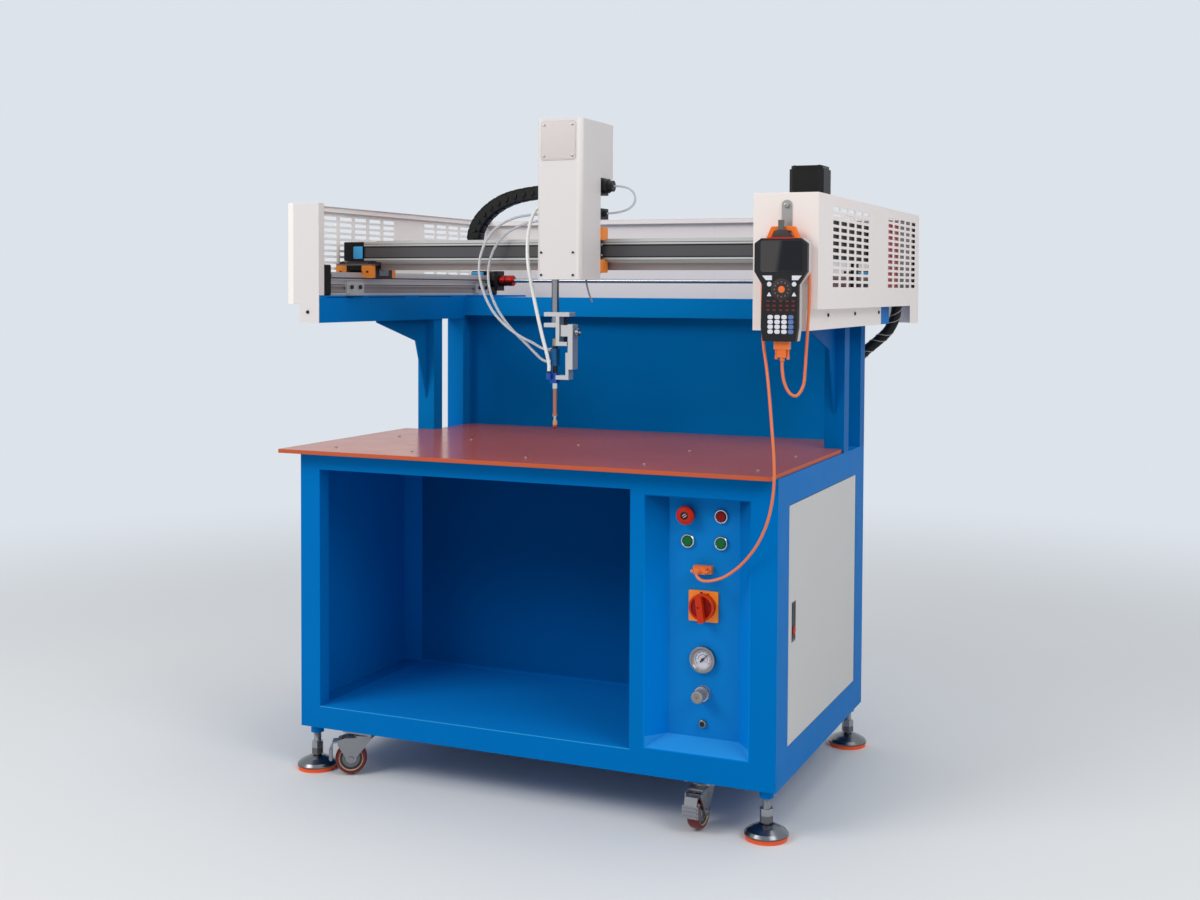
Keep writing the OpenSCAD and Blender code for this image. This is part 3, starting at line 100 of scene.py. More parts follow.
def leave_edit():
    if bpy.context.object and bpy.context.object.mode != "OBJECT":
        bpy.ops.object.mode_set(mode="OBJECT")


def deselect():
    leave_edit()
    bpy.ops.object.select_all(action="DESELECT")


def hold(piece):
    """Make one piece the selected and active one."""
    deselect()
    piece.select_set(True)
    bpy.context.view_layer.objects.active = piece
    return piece


def settle(name):
    """Name the new piece and lay its place, turn and size into its mesh."""
    piece = bpy.context.active_object
    piece.name = piece.data.name = name
    bpy.ops.object.transform_apply(location=True, rotation=True, scale=True)
    return piece


def block(name, a, b):
    """A block between two opposite corners."""
    deselect()
    bpy.ops.mesh.primitive_cube_add(size=1, location=(a + b) / 2, scale=[abs(c) for c in b - a])
    return settle(name)


def rod(name, p, q, d, sides=24):
    """A round bar between two points."""
    deselect()
    v = q - p
    bpy.ops.mesh.primitive_cylinder_add(vertices=sides, radius=d / 2000, depth=v.length,
                                        location=(p + q) / 2, rotation=v.to_track_quat("Z", "Y").to_euler())
    return settle(name)


def pick(piece, test, kind="FACE"):
    """Edit mode, with only the faces or edges selected that pass a test of their middle and direction."""
    hold(piece)
    bpy.ops.object.mode_set(mode="EDIT")
    bpy.ops.mesh.select_mode(type=kind)
    bpy.ops.mesh.select_all(action="DESELECT")
    bpy.ops.object.mode_set(mode="OBJECT")
    mesh = piece.data
    if kind == "FACE":
        for face in mesh.polygons:
            face.select = bool(test(face.center, face.normal))
    else:
        for edge in mesh.edges:
            a, b = (mesh.vertices[v].co for v in edge.vertices)
            edge.select = bool(test((a + b) / 2, (b - a).normalized()))
    bpy.ops.object.mode_set(mode="EDIT")


def facing(axis):
    return lambda middle, normal: normal.dot(axis) > 0.99


def running(axis):
    return lambda middle, direction: abs(direction.dot(axis)) > 0.99


def round_corners(piece, axis, radius, steps=5):
    """Round the edges that run along an axis."""
    pick(piece, running(axis), "EDGE")
    bpy.ops.mesh.bevel(offset=radius / 1000, segments=steps, affect="EDGES")
    leave_edit()
    return piece


def soften(piece, radius, steps=2, angle=35):
    """Break the sharp edges and smooth the shading."""
    hold(piece)
    edge = piece.modifiers.new("edge", "BEVEL")
    edge.width = radius / 1000
    edge.segments = steps
    edge.limit_method = "ANGLE"
    edge.angle_limit = math.radians(angle)
    bpy.ops.object.modifier_apply(modifier=edge.name)
    bpy.ops.object.shade_smooth_by_angle(angle=math.radians(35))
    return piece


def sink(piece, axis, border, depth):
    """Inset the faces that look along an axis, and push them in (or out, where depth is negative)."""
    pick(piece, facing(axis))
    bpy.ops.mesh.inset(thickness=border / 1000, depth=0)
    bpy.ops.mesh.inset(thickness=0.00001, depth=-depth / 1000)
    leave_edit()
    return piece


def copy_of(piece, move, name=None):
    twin = piece.copy()
    twin.data = piece.data.copy()
    twin.data.transform(move)
    twin.name = twin.data.name = name or piece.name
    bpy.context.scene.collection.objects.link(twin)
    return twin


def join(pieces, name):
    deselect()
    for piece in pieces:
        piece.select_set(True)
    bpy.context.view_layer.objects.active = pieces[0]
    bpy.ops.object.join()
    whole = bpy.context.active_object
    whole.name = whole.data.name = name
    return whole


def remove(piece):
    bpy.data.objects.remove(piece)


def stand(point, direction):
    """The move that takes a piece modelled at the origin, looking up, to a point and direction."""
    return Matrix.Translation(point) @ direction.to_track_quat("Z", "Y").to_matrix().to_4x4()


def dress(piece, finish, body):
    """Give a new piece its finish and the body it moves with."""
    piece.data.materials.clear()
    piece.data.materials.append(FINISH[finish])
    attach(piece, body)
    return piece


# Routes and tubes

def curve_point(a, b, c, d, t):
    """The point at share t between b and c, on the smooth curve through all four."""
    square, cube = 2 * a - 5 * b + 4 * c - d, 3 * b - a - 3 * c + d
    return 0.5 * (2 * b + (c - a) * t + square * t * t + cube * t ** 3)


def route(points, steps):
    """The smooth line through given points, as the CAD sweeps it, in the frame's metres."""
    p = [at(*point) for point in points]
    last = len(p) - 1
    line = [curve_point(p[max(i - 1, 0)], p[i], p[i + 1], p[min(i + 2, last)], k / steps)
            for i in range(last) for k in range(steps)]
    return line + [p[last]]


def length_of(line):
    return sum((b - a).length for a, b in zip(line, line[1:]))


def evenly(line, count):
    """The same line cut into equal steps."""
    step = length_of(line) / count
    cut, gone, want = [line[0].copy()], 0.0, step
    for a, b in zip(line, line[1:]):
        reach = (b - a).length
        while gone + reach >= want - 1e-9 and len(cut) < count:
            cut.append(a.lerp(b, (want - gone) / reach))
            want += step
        gone += reach
    return cut + [line[-1].copy()]


def tube(name, line, d, sides=12):
    """A round tube along a line, with closed ends."""
    deselect()
    wire = bpy.data.curves.new(name, "CURVE")
    wire.dimensions = "3D"
    wire.bevel_depth = d / 2000
    wire.bevel_resolution = (sides - 4) // 2
    wire.use_fill_caps = True
    run = wire.splines.new("POLY")
    run.points.add(len(line) - 1)
    for knot, point in zip(run.points, line):
        knot.co = (*point, 1)
    run.use_smooth = True
    piece = bpy.data.objects.new(name, wire)
    bpy.context.scene.collection.objects.link(piece)
    hold(piece)
    bpy.ops.object.convert(target="MESH")
    piece = bpy.context.active_object
    piece.name = piece.data.name = name
    bpy.ops.object.shade_smooth_by_angle(angle=math.radians(50))
    return piece


# the cords' routes, the same points as in the part's source
CABLE = [[13.5, -27, 879], [14, -27, 862], [18, -26, 838], [28, -22, 817], [41, -15, 812],
         [52, -8, 832], [55, -7, 862], [57, -7, 900], [60, -7, 950], [62, -7, 1000], [62, -7, 1050],
         [56, -7, 1095], [40, -8, 1127], [20, -8, 1143], [4, -8, 1143], [-16, -7, 1127], [-30, -7, 1095],
         [-34, -7, 1050], [-35, -7, 1005], [-34, -8, 965], [-30, -13, 915], [-20, -22, 864], [-11, -31, 810],
         [-2, -40, 740], [3, -43, 690], [4, -43, 640], [-1, -42, 595], [-14, -37, 550], [-38, -27, 505],
         [-72, -16, 465], [-108, -12, 437], [-140, -10, 425], [-162, -5, 424], [-174, 0, 432],
         [-174, 8, 437]]
CONDUIT = [[55, 688.6, 1070], [55, 706, 1070], [56, 730, 1066], [59, 760, 1052], [61, 785, 1024],
           [61, 798, 988], [55, 803, 952], [38, 804, 920], [11, 801, 893], [-18, 797, 868], [-41, 792, 836],
           [-53, 787, 792], [-56, 783, 742], [-56, 780, 690], [-56, 776, 640], [-56, 768, 604],
           [-56, 756, 574], [-56, 742, 558], [-56, 732, 556], [-56, 722, 556]]
CHAIN = [[-591, 272, 1250], [-640, 272, 1249], [-700, 272, 1244], [-755, 272, 1232],
         [-800, 272, 1208], [-831, 272, 1176], [-843, 272, 1141], [-834, 272, 1109], [-806, 272, 1088],
         [-765, 272, 1083], [-700, 272, 1083], [-640, 272, 1083]]
LOOP = [[-448, 195, 1252], [-430, 195, 1251], [-412, 195, 1246], [-400, 195, 1236],
        [-396, 195, 1222], [-402, 195, 1208], [-418, 195, 1198], [-440, 195, 1193], [-464, 195, 1191]]
HOSE_A = [[-594, 182, 1190], [-615, 182, 1191], [-645, 178, 1190], [-680, 170, 1184],
          [-715, 160, 1168], [-741, 150, 1141], [-754, 140, 1104], [-755, 130, 1067], [-747, 125, 1032],
          [-732, 121, 999], [-710, 119, 966], [-679, 118, 937], [-645, 118, 915], [-612, 119, 900],
          [-592, 120, 889.5], [-578, 120, 886], [-569.9, 120, 886]]
HOSE_B = [[-594, 182, 1178], [-613, 183, 1178], [-640, 184, 1175], [-670, 181, 1168],
          [-701, 175, 1152], [-726, 167, 1127], [-739, 158, 1095], [-741, 148, 1061], [-734, 140, 1026],
          [-719, 134, 992], [-696, 130, 958], [-666, 128, 926], [-635, 126, 900], [-609, 123, 878],
          [-591, 121, 864], [-578, 120, 859], [-569.9, 120, 859]]
GLUE = [[-594, 182, 1215], [-606, 181, 1215], [-622, 174, 1208], [-632, 160, 1190],
        [-632, 138, 1154], [-626, 119, 1110], [-617, 107, 1067], [-607, 103, 1027], [-597, 102, 985],
        [-588, 102, 948], [-578, 103, 908], [-569, 104, 876], [-565, 106, 852], [-565, 106, 838.3]]


# Finishes

class Tone:
    """A shader value. Arithmetic on it adds Math nodes."""

    def __init__(self, owner, socket):
        self.owner = owner
        self.socket = socket

    def math(self, operation, *values):
        return self.owner.node("ShaderNodeMath", {"operation": operation}, dict(enumerate(values)))

    def __add__(self, other):
        return self.math("ADD", self, other)

    def __sub__(self, other):
        return self.math("SUBTRACT", self, other)

    def __rsub__(self, other):
        return self.math("SUBTRACT", other, self)

    def __mul__(self, other):
        return self.math("MULTIPLY", self, other)

    def __truediv__(self, other):
        return self.math("DIVIDE", self, other)

    def __gt__(self, other):
        return self.math("GREATER_THAN", self, other)

    def __lt__(self, other):
        return self.math("LESS_THAN", self, other)

    __radd__ = __add__
    __rmul__ = __mul__

    def between(self, low, high):
        return (self > low) * (self < high)

    def away(self, middle):
        return self.math("ABSOLUTE", self - middle)

    def cycle(self, length):
        """How far into the present repeat, from 0 to 1."""
        return self.math("FRACT", self / length)

    def wave(self, length):
        return self.math("SINE", self * (2 * math.pi / length))

    def ease(self, low, high):
        return self.owner.node("ShaderNodeMapRange", {"interpolation_type": "SMOOTHSTEP"},
                                {0: self, 1: low, 2: high, 3: 0.0, 4: 1.0})


class Nodes:
    """A node tree, with the means to fill it."""

    def __init__(self, tree):
        self.tree = tree

    def plug(self, socket, value):
        if isinstance(value, Tone):
            self.tree.links.new(value.socket, socket)
        else:
            socket.default_value = value

    def node(self, kind, settings, inputs, output=0):
        made = self.tree.nodes.new(kind)
        for setting, value in settings.items():
            setattr(made, setting, value)
        for socket, value in inputs.items():
            self.plug(made.inputs[socket], value)
        return Tone(self, made.outputs[output])

    def rays(self, first, *others):
        """1 for any of these kinds of ray."""
        path = self.tree.nodes.new("ShaderNodeLightPath")
        seen = Tone(self, path.outputs[first])
        for kind in others:
            seen = seen.math("MAXIMUM", seen, Tone(self, path.outputs[kind]))
        return seen

    def show(self, mask, shader, backdrop, end):
        """The shader, or the backdrop where the mask is 1."""
        mixed = self.node("ShaderNodeMixShader", {},
                          {0: mask, 1: Tone(self, shader.outputs[0]), 2: backdrop})
        self.plug(self.tree.nodes[end].inputs[0], mixed)


class Finish(Nodes):
    """A procedural finish: colour, roughness, metal and relief, each of which masks can paint over.

    Colours are given as seen on a screen, places in the machine's own millimetres.
    """

    def __init__(self, name, colour, rough=0.5, metal=0.0, mottle=0.05, relief=0.03, grain=900,
                 smudge=0.08, stretch=(1, 1, 1), gloss=0.5, **fixed):
        self.material = bpy.data.materials.new(name)
        self.material.use_nodes = True
        super().__init__(self.material.node_tree)
        self.shader = self.tree.nodes["Principled BSDF"]
        self.shader.inputs["Specular IOR Level"].default_value = gloss
        for socket, value in fixed.items():
            self.shader.inputs[socket.replace("_", " ")].default_value = value
        self.place = self.node("ShaderNodeTexCoord", {}, {}, "Object")
        self.stretched = self.node("ShaderNodeMapping", {}, {0: self.place, "Scale": stretch})
        parts = [self.node("ShaderNodeSeparateXYZ", {}, {0: self.place}, k) for k in range(3)]
        self.x, self.y, self.z = (part * 1000 - SHIFT[k] for k, part in enumerate(parts))
        red, green, blue, alpha = srgb(*colour)
        darker = tuple(c * (1 - mottle) for c in (red, green, blue)) + (alpha,)
        lighter = tuple(min(1, c * (1 + mottle)) for c in (red, green, blue)) + (alpha,)
        self.colour = self.mix(self.noise(5, 3), darker, lighter)
        self.rough = rough + smudge * (self.noise(16, 4) - 0.5)
        self.metal = metal
        self.height = self.noise(grain, 3) * relief if relief else None

    def noise(self, scale, detail=2, roughness=0.5):
        return self.node("ShaderNodeTexNoise", {}, {"Vector": self.stretched, "Scale": scale,
                                                    "Detail": detail, "Roughness": roughness})

    def mix(self, mask, a, b):
        return self.node("ShaderNodeMix", {"data_type": "RGBA"}, {0: mask, 6: a, 7: b}, 2)

    def paint(self, mask, colour=None, rough=None, metal=None):
        """Another colour, roughness or metal where the mask is 1."""
        if colour:
            self.colour = self.mix(mask, self.colour, srgb(*colour))
        if rough is not None:
            self.rough = self.rough * (1 - mask) + rough * mask
        if metal is not None:
            self.metal = metal * mask + self.metal * (1 - mask)
        return self

    def carve(self, height):
        """Add to the relief, in millimetres."""
        self.height = height if self.height is None else self.height + height
        return self

    def done(self):
        self.plug(self.shader.inputs["Base Color"], self.colour)
        self.plug(self.shader.inputs["Roughness"], self.rough)
        self.plug(self.shader.inputs["Metallic"], self.metal)
        if self.height is not None:
            bump = self.node("ShaderNodeBump", {},
                             {"Strength": 1.0, "Distance": 0.001, "Height": self.height})
            self.plug(self.shader.inputs["Normal"], bump)
        return self.material


def ring_round(finish, middle, axis):
    """Distance from an axis line, in millimetres, for masks on turned parts."""
    arm = finish.node("ShaderNodeVectorMath", {"operation": "SUBTRACT"}, {0: finish.place, 1: middle})
    up = finish.node("ShaderNodeVectorMath", {"operation": "DOT_PRODUCT"}, {0: arm, 1: axis}, 1)
    reach = finish.node("ShaderNodeVectorMath", {"operation": "LENGTH"}, {0: arm}, 1)
    return finish.node("ShaderNodeMath", {"operation": "SQRT"}, {0: reach * reach - up * up}) * 1000


def coat_node(name, material):
    """Give a CAD node its finish."""
    node = nodes[name]
    if not node.material_slots:
        node.data.materials.append(material)
    for held in node.material_slots:
        held.material = material


BLUE = (0, 113, 190)
BLUE_SHEEN = (0.02, 0.5, 1, 1)
WHITE_PAINT = (224, 219, 217)
ALUMINIUM = (190, 189, 187)
BLACK = (26, 26, 28)
CHROME = (200, 202, 206)


def blue_paint(name):
    """Textured powder coat, lightly scuffed."""
    f = Finish(name, BLUE, 0.5, mottle=0.06, relief=0.05, grain=620, smudge=0.12, gloss=0.09,
               Specular_Tint=BLUE_SHEEN)
    scuff = f.noise(38, 6, 0.7).ease(0.66, 0.8)
    f.paint(scuff * 0.3, (6, 124, 204), 0.5)
    return f


def cabinet_finish():
    """Painted shade inside the storage bay, stronger towards its top; painted light on its floor and a
    painted highlight along the floor's front edge; black at the gland.
    """
    f = blue_paint("cabinet_blue")
    inside = f.x.between(-1095, -305) * f.y.between(34, 721.6) * f.z.between(56, 600)
    # painted shade inside the bay, stronger towards its top
    f.paint(inside * (0.5 + 0.5 * f.z.ease(60, 380)), (0, 76, 136), 0.56)
    bay, floor, edge = f.x.between(-1101, -322), 51.6, 2.2
    # painted light on the bay's floor
    f.paint(bay * f.z.between(floor - 1, floor) * (f.y > edge), (8, 128, 210), 0.5)
    # painted highlight along the floor's front edge
    f.paint(bay * f.z.between(floor - 2, floor) * (f.y < edge), (52, 160, 226), 0.4)
    gland = ring_round(f, at(*CONDUIT[-1]), ALONG_Y)
    f.paint((gland < 21.6) * (f.y > 710), BLACK, 0.5)
    return f.done()


def panel_finish():
    """Painted shade at the panel's top, painted light towards its foot and on the lower fold, and a painted
    highlight along its flat's edge.
    """
    f = blue_paint("panel_blue")
    top, foot = f.z.ease(505, 612), (f.z * -1).ease(-530, -330)
    # painted shade at the panel's top, then painted light towards its foot
    f.paint(top * 0.5, (0, 52, 108), 0.55)
    f.paint(foot * 0.8, (0, 132, 222), 0.5)
    # painted light on the lower fold
    lower_fold_painted_light = (f.z < 81.6) * (f.y > 1)
    f.paint(lower_fold_painted_light, (42, 148, 222), 0.5)
    # painted highlight along the flat's edge
    f.paint(f.y.away(47) < 1.2, (18, 126, 204), 0.45)
    return f.done()


def frame_finish():
    """A rear wall with painted light towards the right and painted shade towards the left, painted shade on
    the right post, painted light on the left post and the cross beam's front face, and stitch welds.
    """
    f = blue_paint("frame_blue")
    wall = f.y.between(717, 719.5)
    below_beam = (f.z < 941) * (f.y < 721.5)
    # painted light on the rear wall, towards the right
    f.paint(wall * f.x.ease(-620, -220) * 0.6, (4, 134, 214), 0.5)
    # painted shade on the right post, painted light on the left post
    right_post_painted_shade, left_post_painted_light = below_beam * (f.x > -54.5), below_beam * (f.x < -1097.5)
    f.paint(right_post_painted_shade * 0.7, (0, 90, 158), 0.5)
    f.paint(left_post_painted_light * 0.5, (10, 132, 208), 0.5)
    # painted shade on the rear wall, towards the left
    f.paint(wall * (f.x * -1).ease(620, 980) * 0.35, (0, 88, 152), 0.5)
    # painted light on the cross beam's front face
    beam_face_painted_light = (f.z > 947) * f.y.between(679, 681.5)
    f.paint(beam_face_painted_light * 0.5, (10, 138, 214), 0.5)
    seam = f.z.away(998.5) < 0.7
    stitch = ((f.y + 30).cycle(235) < 0.72) * f.y.between(30, 660)
    edge = (f.x.away(-1100) < 1) + (f.x.away(-54) < 1)
    weld = seam * stitch * edge
    f.paint(weld, (0, 26, 62), 0.7)
    f.carve(weld * -0.4)
    return f.done()


def cover_finish(name, colour=WHITE_PAINT, with_painted_light=False):
    """Fine white powder coat. When asked for, painted light makes the right cover, the inner face of the
    left one and its flange returns, the rear wall's inside and the head cover's right side paler.
    """
    f = Finish(name, colour, 0.45, mottle=0.02, relief=0.025, grain=800, smudge=0.1)
    if with_painted_light:
        left_x, right_x, rear_y = -1188.2, 76.8, 956
        # painted light on the right cover
        f.paint((f.x > -100) * (f.y < rear_y) + (f.x > right_x), (242, 232, 227), 0.45)
        # painted light on the left wall's inner face and flange returns
        f.paint(f.x.between(left_x, -1170) * (f.y < rear_y), (250, 244, 239), 0.45)
        # painted light on the rear wall's inside
        f.paint((f.y > rear_y) * f.x.between(left_x, right_x), (234, 227, 224), 0.45)
        # painted light on the head cover's right side
        f.paint(f.x.between(-485, -480), (232, 225, 222), 0.45)
    return f.done()


def tabletop_finish():
    """Varnished phenolic board: paper fibre, fine specks and a raw, brighter edge."""
    f = Finish("table_laminate", (178, 86, 46), 0.2, mottle=0.1, relief=0.0, smudge=0.1,
               gloss=0.22, Specular_Tint=(1, 0.6, 0.45, 1))
    fibre = f.noise(160, 8, 0.8).ease(0.35, 0.75)
    f.paint(fibre * 0.35, (120, 46, 34))
    speck = f.noise(420, 2) > 0.74
    f.paint(speck * 0.5, (196, 120, 96))
    raw_edge = f.z < 648.7
    f.paint(raw_edge, (196, 92, 58), 0.5)
    f.carve(f.noise(3, 1) * 0.25)
    f.carve(f.noise(900, 2) * 0.004)
    return f.done()


def module_finish():
    """Drawn aluminium with the cover belt, its lips, the shadow lines of the rails and a painted reflection,
    brownish, under the bridge.
    """
    f = Finish("module_aluminium", ALUMINIUM, 0.4, 0.6, mottle=0.04, relief=0.02, grain=260, smudge=0.1,
               stretch=(0.15, 1, 1))
    face = f.y.between(190, 195) * f.x.between(-1105, -47)
    f.paint(face * f.z.between(1093.2, 1119.8), (78, 76, 77), 0.38, 0.3)
    for z, half, shade, metal in ((1093.6, 1.6, (20, 19, 20), 0.1), (1120, 1.8, (20, 19, 20), 0.1),
                                  (1126.4, 0.7, (70, 66, 64), 0.2), (1086.4, 0.9, (64, 54, 50), 0.2)):
        f.paint(face * (f.z.away(z) < half), shade, 0.5, metal)
    # painted reflection: a brownish band under the bridge
    under_bridge_painted_reflection = f.z.between(1064, 1080) * (f.y > 205) * f.x.between(-1080, -70)
    f.paint(under_bridge_painted_reflection, (146, 136, 132), 0.45, 0.5)
    for x in MODULES:
        belt = (f.x.away(x) < 11.9) * f.z.between(1055.5, 1057) * (f.y < 812)
        f.paint(belt, (46, 46, 48), 0.4, 0.2)
        f.paint(belt * (f.x.away(x) > 10.2), (16, 16, 17), 0.5, 0.0)
    for s, x in ((1, -1103), (-1, -49)):  # the Y modules' inner sides
        out = (f.x - x) * s
        f.paint(out.between(6.2, 20) * f.z.between(1015, 1031), (28, 28, 30), 0.4, 0.4)
        side = out.between(-46.5, 0.5) * (f.y > 47) * (f.z < 1054)
        f.paint(side * f.z.between(1013, 1026), (150, 140, 134), 0.42, 0.5)
        for z in (1011, 1028, 1044):
            f.paint(side * (f.z.away(z) < 1.1), (58, 52, 48), 0.5, 0.3)
    return f.done()


def carriage_finish():
    """Black anodised blocks under grey steel adapter plates."""
    f = Finish("carriage_black", (24, 24, 26), 0.4, mottle=0.1, gloss=0.25)
    plate = f.z.between(1075, 1086.1) * ((f.x < -1060) + (f.x > -90))
    f.paint(plate, (122, 113, 109), 0.4, 0.5)
    return f.done()


def drive_finish():
    """Black painted castings, with turned lines round the motor."""
    f = Finish("drive_black", (17, 16, 17), 0.46, mottle=0.15, relief=0.05, grain=700, smudge=0.12,
               gloss=0.22)
    motor = (f.z > 1133) * (f.x > -45)
    for z, half in ((1139.5, 0.7), (1278.6, 0.6)):
        f.paint(motor * (f.z.away(z) < half), (8, 8, 9), 0.6)
    f.paint(motor * (f.z > 1279), (17, 16, 17), 0.36)
    return f.done()


def plain(name, colour, rough=0.5, metal=0.0, **more):
    return Finish(name, colour, rough, metal, **more).done()


def wheel_finish(corner, middle, axis):
    """Cast tyre round a pale rim line and a grey hub."""
    f = Finish("wheel_tyre_" + corner, (104, 10, 12), 0.32, mottle=0.12, grain=500, smudge=0.12)
    r = ring_round(f, middle, axis)
    f.paint(r < 27.6, (186, 160, 130), 0.45)
    f.paint(r < 25.4, (46, 46, 48), 0.45, 0.1)
    f.paint(r < 20, (112, 113, 116), 0.4, 0.3)
    f.paint(r < 11.5, (186, 187, 190), 0.25, 0.9)
    f.carve((r.away(24.6) < 1.0) * -0.5)
    return f.done()


def foot_finish():
    """Chromed dome and stud on a moulded ring, with threads on the stud."""
    f = Finish("foot_chrome", (118, 119, 123), 0.24, 1.0, mottle=0.16, relief=0.02, grain=500, smudge=0.2)
    ring_top, dome_top, nut_top, thread_foot = -94, -69.2, -55.2, -39.8
    f.paint(f.z < ring_top, (250, 92, 28), 0.5, 0.0)
    f.paint(f.z.away(-93.8) < 0.5, (30, 24, 22), 0.5, 0.0)
    f.paint(f.z > dome_top, (164, 166, 168), 0.28, 0.95)
    f.paint(f.z.between(dome_top, nut_top), (112, 113, 116), 0.32, 0.95)
    f.carve(f.z.wave(2) * 0.35 * (f.z > thread_foot))
    f.carve((f.z.away(-54.5) < 0.7) * -0.6)
    return f.done()


def valve_finish():
    """Blue anodised body under a darker cylinder, a black cap and joint, and steel hose fittings."""
    f = Finish("valve_blue", (26, 84, 176), 0.34, 0.4, mottle=0.06, relief=0.02, smudge=0.1)
    rod_x, top = -556.5, 888
    f.paint(f.z > top - 39, (18, 88, 140), 0.34)
    f.paint(f.z.between(top - 54, top - 38), (40, 42, 46), 0.35, 0.6)
    f.paint(f.z > top, (34, 34, 36), 0.35, 0.5)
    f.paint((f.x < rod_x - 7.05) * (f.z > top - 49), (196, 196, 198), 0.22, 1.0)
    f.carve((f.z.away(top - 12.5) < 0.5) * -0.4 + (f.z.away(top - 25.5) < 0.5) * -0.4)
    return f.done()


def nozzle_finish():
    """Copper tube between a steel adaptor, a brass hexagon and a warm tip."""
    f = Finish("nozzle_copper", (184, 122, 98), 0.3, 1.0, mottle=0.12, relief=0.01, smudge=0.14)
    adaptor, collar, hexagon = f.z > 799.1, f.z.between(727.2, 737.9), f.z.between(717.9, 727.9)
    f.paint(adaptor, (214, 214, 216), 0.18)
    f.paint(collar, (206, 190, 170), 0.22)
    f.paint(hexagon, (214, 168, 112), 0.24)
    f.paint(f.z < 718, (188, 74, 48), 0.3)
    return f.done()


def bracket_finish():
    """Machined aluminium, with a dark thread on the fine slide's screw."""
    f = Finish("bracket_aluminium", (206, 205, 204), 0.34, 0.8, mottle=0.03, relief=0.02, grain=700,
               smudge=0.08)
    screw = ring_round(f, at(-531.5, 120, 920), ALONG_Z)
    thread = (screw < 4.3) * f.z.between(896.5, 959.8)
    f.paint(thread, (52, 52, 56), 0.35, 0.9)
    f.carve(f.z.wave(1.5) * 0.25 * thread)
    return f.done()


def shaft_finish():
    """Ground shaft between anodised jaw couplings with their clamping slits."""
    f = Finish("shaft_steel", (150, 152, 156), 0.25, 1.0, mottle=0.04, relief=0.01, smudge=0.1)
    for x in (-1072, -122):  # where each coupling starts
        red = f.x.between(x, x + 43)
        f.paint(red, (176, 30, 22), 0.28, 0.85)
        for slit in (18.4, 23.6, 10, 32):
            f.paint(red * (f.x.away(x + slit) < 0.8), (54, 8, 8), 0.5, 0.3)
    return f.done()


def fittings_finish():
    """Chromed fittings: the gauge's white dial with marks and two arcs, and painted shade in the holes
    behind the buttons.
    """
    f = Finish("fitting_chrome", CHROME, 0.14, 1.0, mottle=0.04, relief=0.0, smudge=0.14)
    r = ring_round(f, at(COLUMN, 43, GAUGE_Z), ALONG_Y)
    dial = (r < 23.9) * f.z.between(222, 272) * f.y.between(42.5, 44)
    f.paint(dial, (208, 208, 220), 0.4, 0.0)
    angle = f.node("ShaderNodeMath", {"operation": "ARCTAN2"}, {0: f.x - COLUMN, 1: f.z - GAUGE_Z})
    sweep = angle.math("ABSOLUTE", angle) < 2.36
    fine = (angle + math.pi).cycle(math.pi / 30).away(0.5) > 0.38
    bold = (angle + math.pi).cycle(math.pi / 6).away(0.5) > 0.455
    f.paint(dial * sweep * fine * r.between(14.6, 16.2), (26, 26, 30), 0.5, 0.0)
    f.paint(dial * sweep * bold * r.between(12.6, 16.2), (16, 16, 20), 0.5, 0.0)
    f.paint(dial * sweep * r.between(16.1, 16.7), (26, 26, 30), 0.5, 0.0)
    f.paint(dial * r.between(9.6, 10.8) * angle.between(0.9, 2.3), (170, 60, 60), 0.5, 0.0)
    f.paint(dial * r.between(9.6, 10.8) * angle.between(-1.6, 0.9), (70, 76, 110), 0.5, 0.0)
    slope = r.between(17, 22.7) * f.z.between(219, 275) * f.y.between(37.2, 43.3)
    f.paint(slope, (158, 150, 148), 0.42, 0.3)
    f.paint(slope * (r < 19), (196, 194, 204), 0.42, 0.0)
    # painted reflection: the gauge bezel's outer chrome ring painted darker, for dark surroundings mirrored
    # in it
    f.paint(r.between(22.7, 30) * f.z.between(217, 277) * (f.y < 46), (146, 146, 148), 0.22, 1.0)
    base = f.z.between(158, 192) * (f.y > 35)
    f.paint(base, (178, 176, 172), 0.35, 0.5)
    collar = ring_round(f, at(STOP_X, 43, STOP_Z), ALONG_Y)
    f.paint((collar < 15.2) * (f.y < 48.4), (42, 42, 44), 0.4, 0.2)
    for x, z in BUTTONS.values():
        # painted shade in the gaps round the buttons' lenses, behind their bezels
        button_gap_painted_shade = (f.x.away(x) < 11.5) * (f.z.away(z) < 11.5)
        f.paint(button_gap_painted_shade * (ring_round(f, at(x, 43, z), ALONG_Y) < 11.3), (10, 10, 11), 0.6, 0.0)
    tap = ring_round(f, at(COLUMN, 43, AIR_SOCKET_Z), ALONG_Y)
    f.paint(f.z < 125, (128, 126, 124), 0.3, 0.8)
    f.paint((tap < 5.4) * (f.z < 125), (6, 6, 7), 0.6, 0.0)
    return f.done()


def switch_finish():
    """Bright rim and handle round a dish painted darker, as painted shade in its recess."""
    f = Finish("switch_red", (212, 58, 6), 0.4, gloss=0.22)
    # painted shade in the recessed dish
    dish_painted_shade = (ring_round(f, at(COLUMN, 30, SWITCH_Z), ALONG_Y) < 22.6) * (f.y > 27) * f.z.between(330, 390)
    f.paint(dish_painted_shade, (148, 14, 2), 0.45)
    f.paint((f.y < 27) * f.z.between(320, 392), (200, 46, 4), 0.4)
    return f.done()


def pendant_finish():
    """Moulded shell: a black front half, a pale back half and an orange carrying handle."""
    f = Finish("pendant_black", (24, 24, 26), 0.46, mottle=0.1, relief=0.04, grain=700, gloss=0.28)
    seam_y = -31.5
    f.paint((f.y > seam_y) * (f.z < 1124.1), (206, 201, 198), 0.45)
    f.paint(f.z > 1123.9, (240, 118, 36), 0.45)
    seam = f.y.away(seam_y) < 0.35
    f.paint(seam, (16, 16, 18), 0.6)
    f.carve(seam * -0.4)
    return f.done()


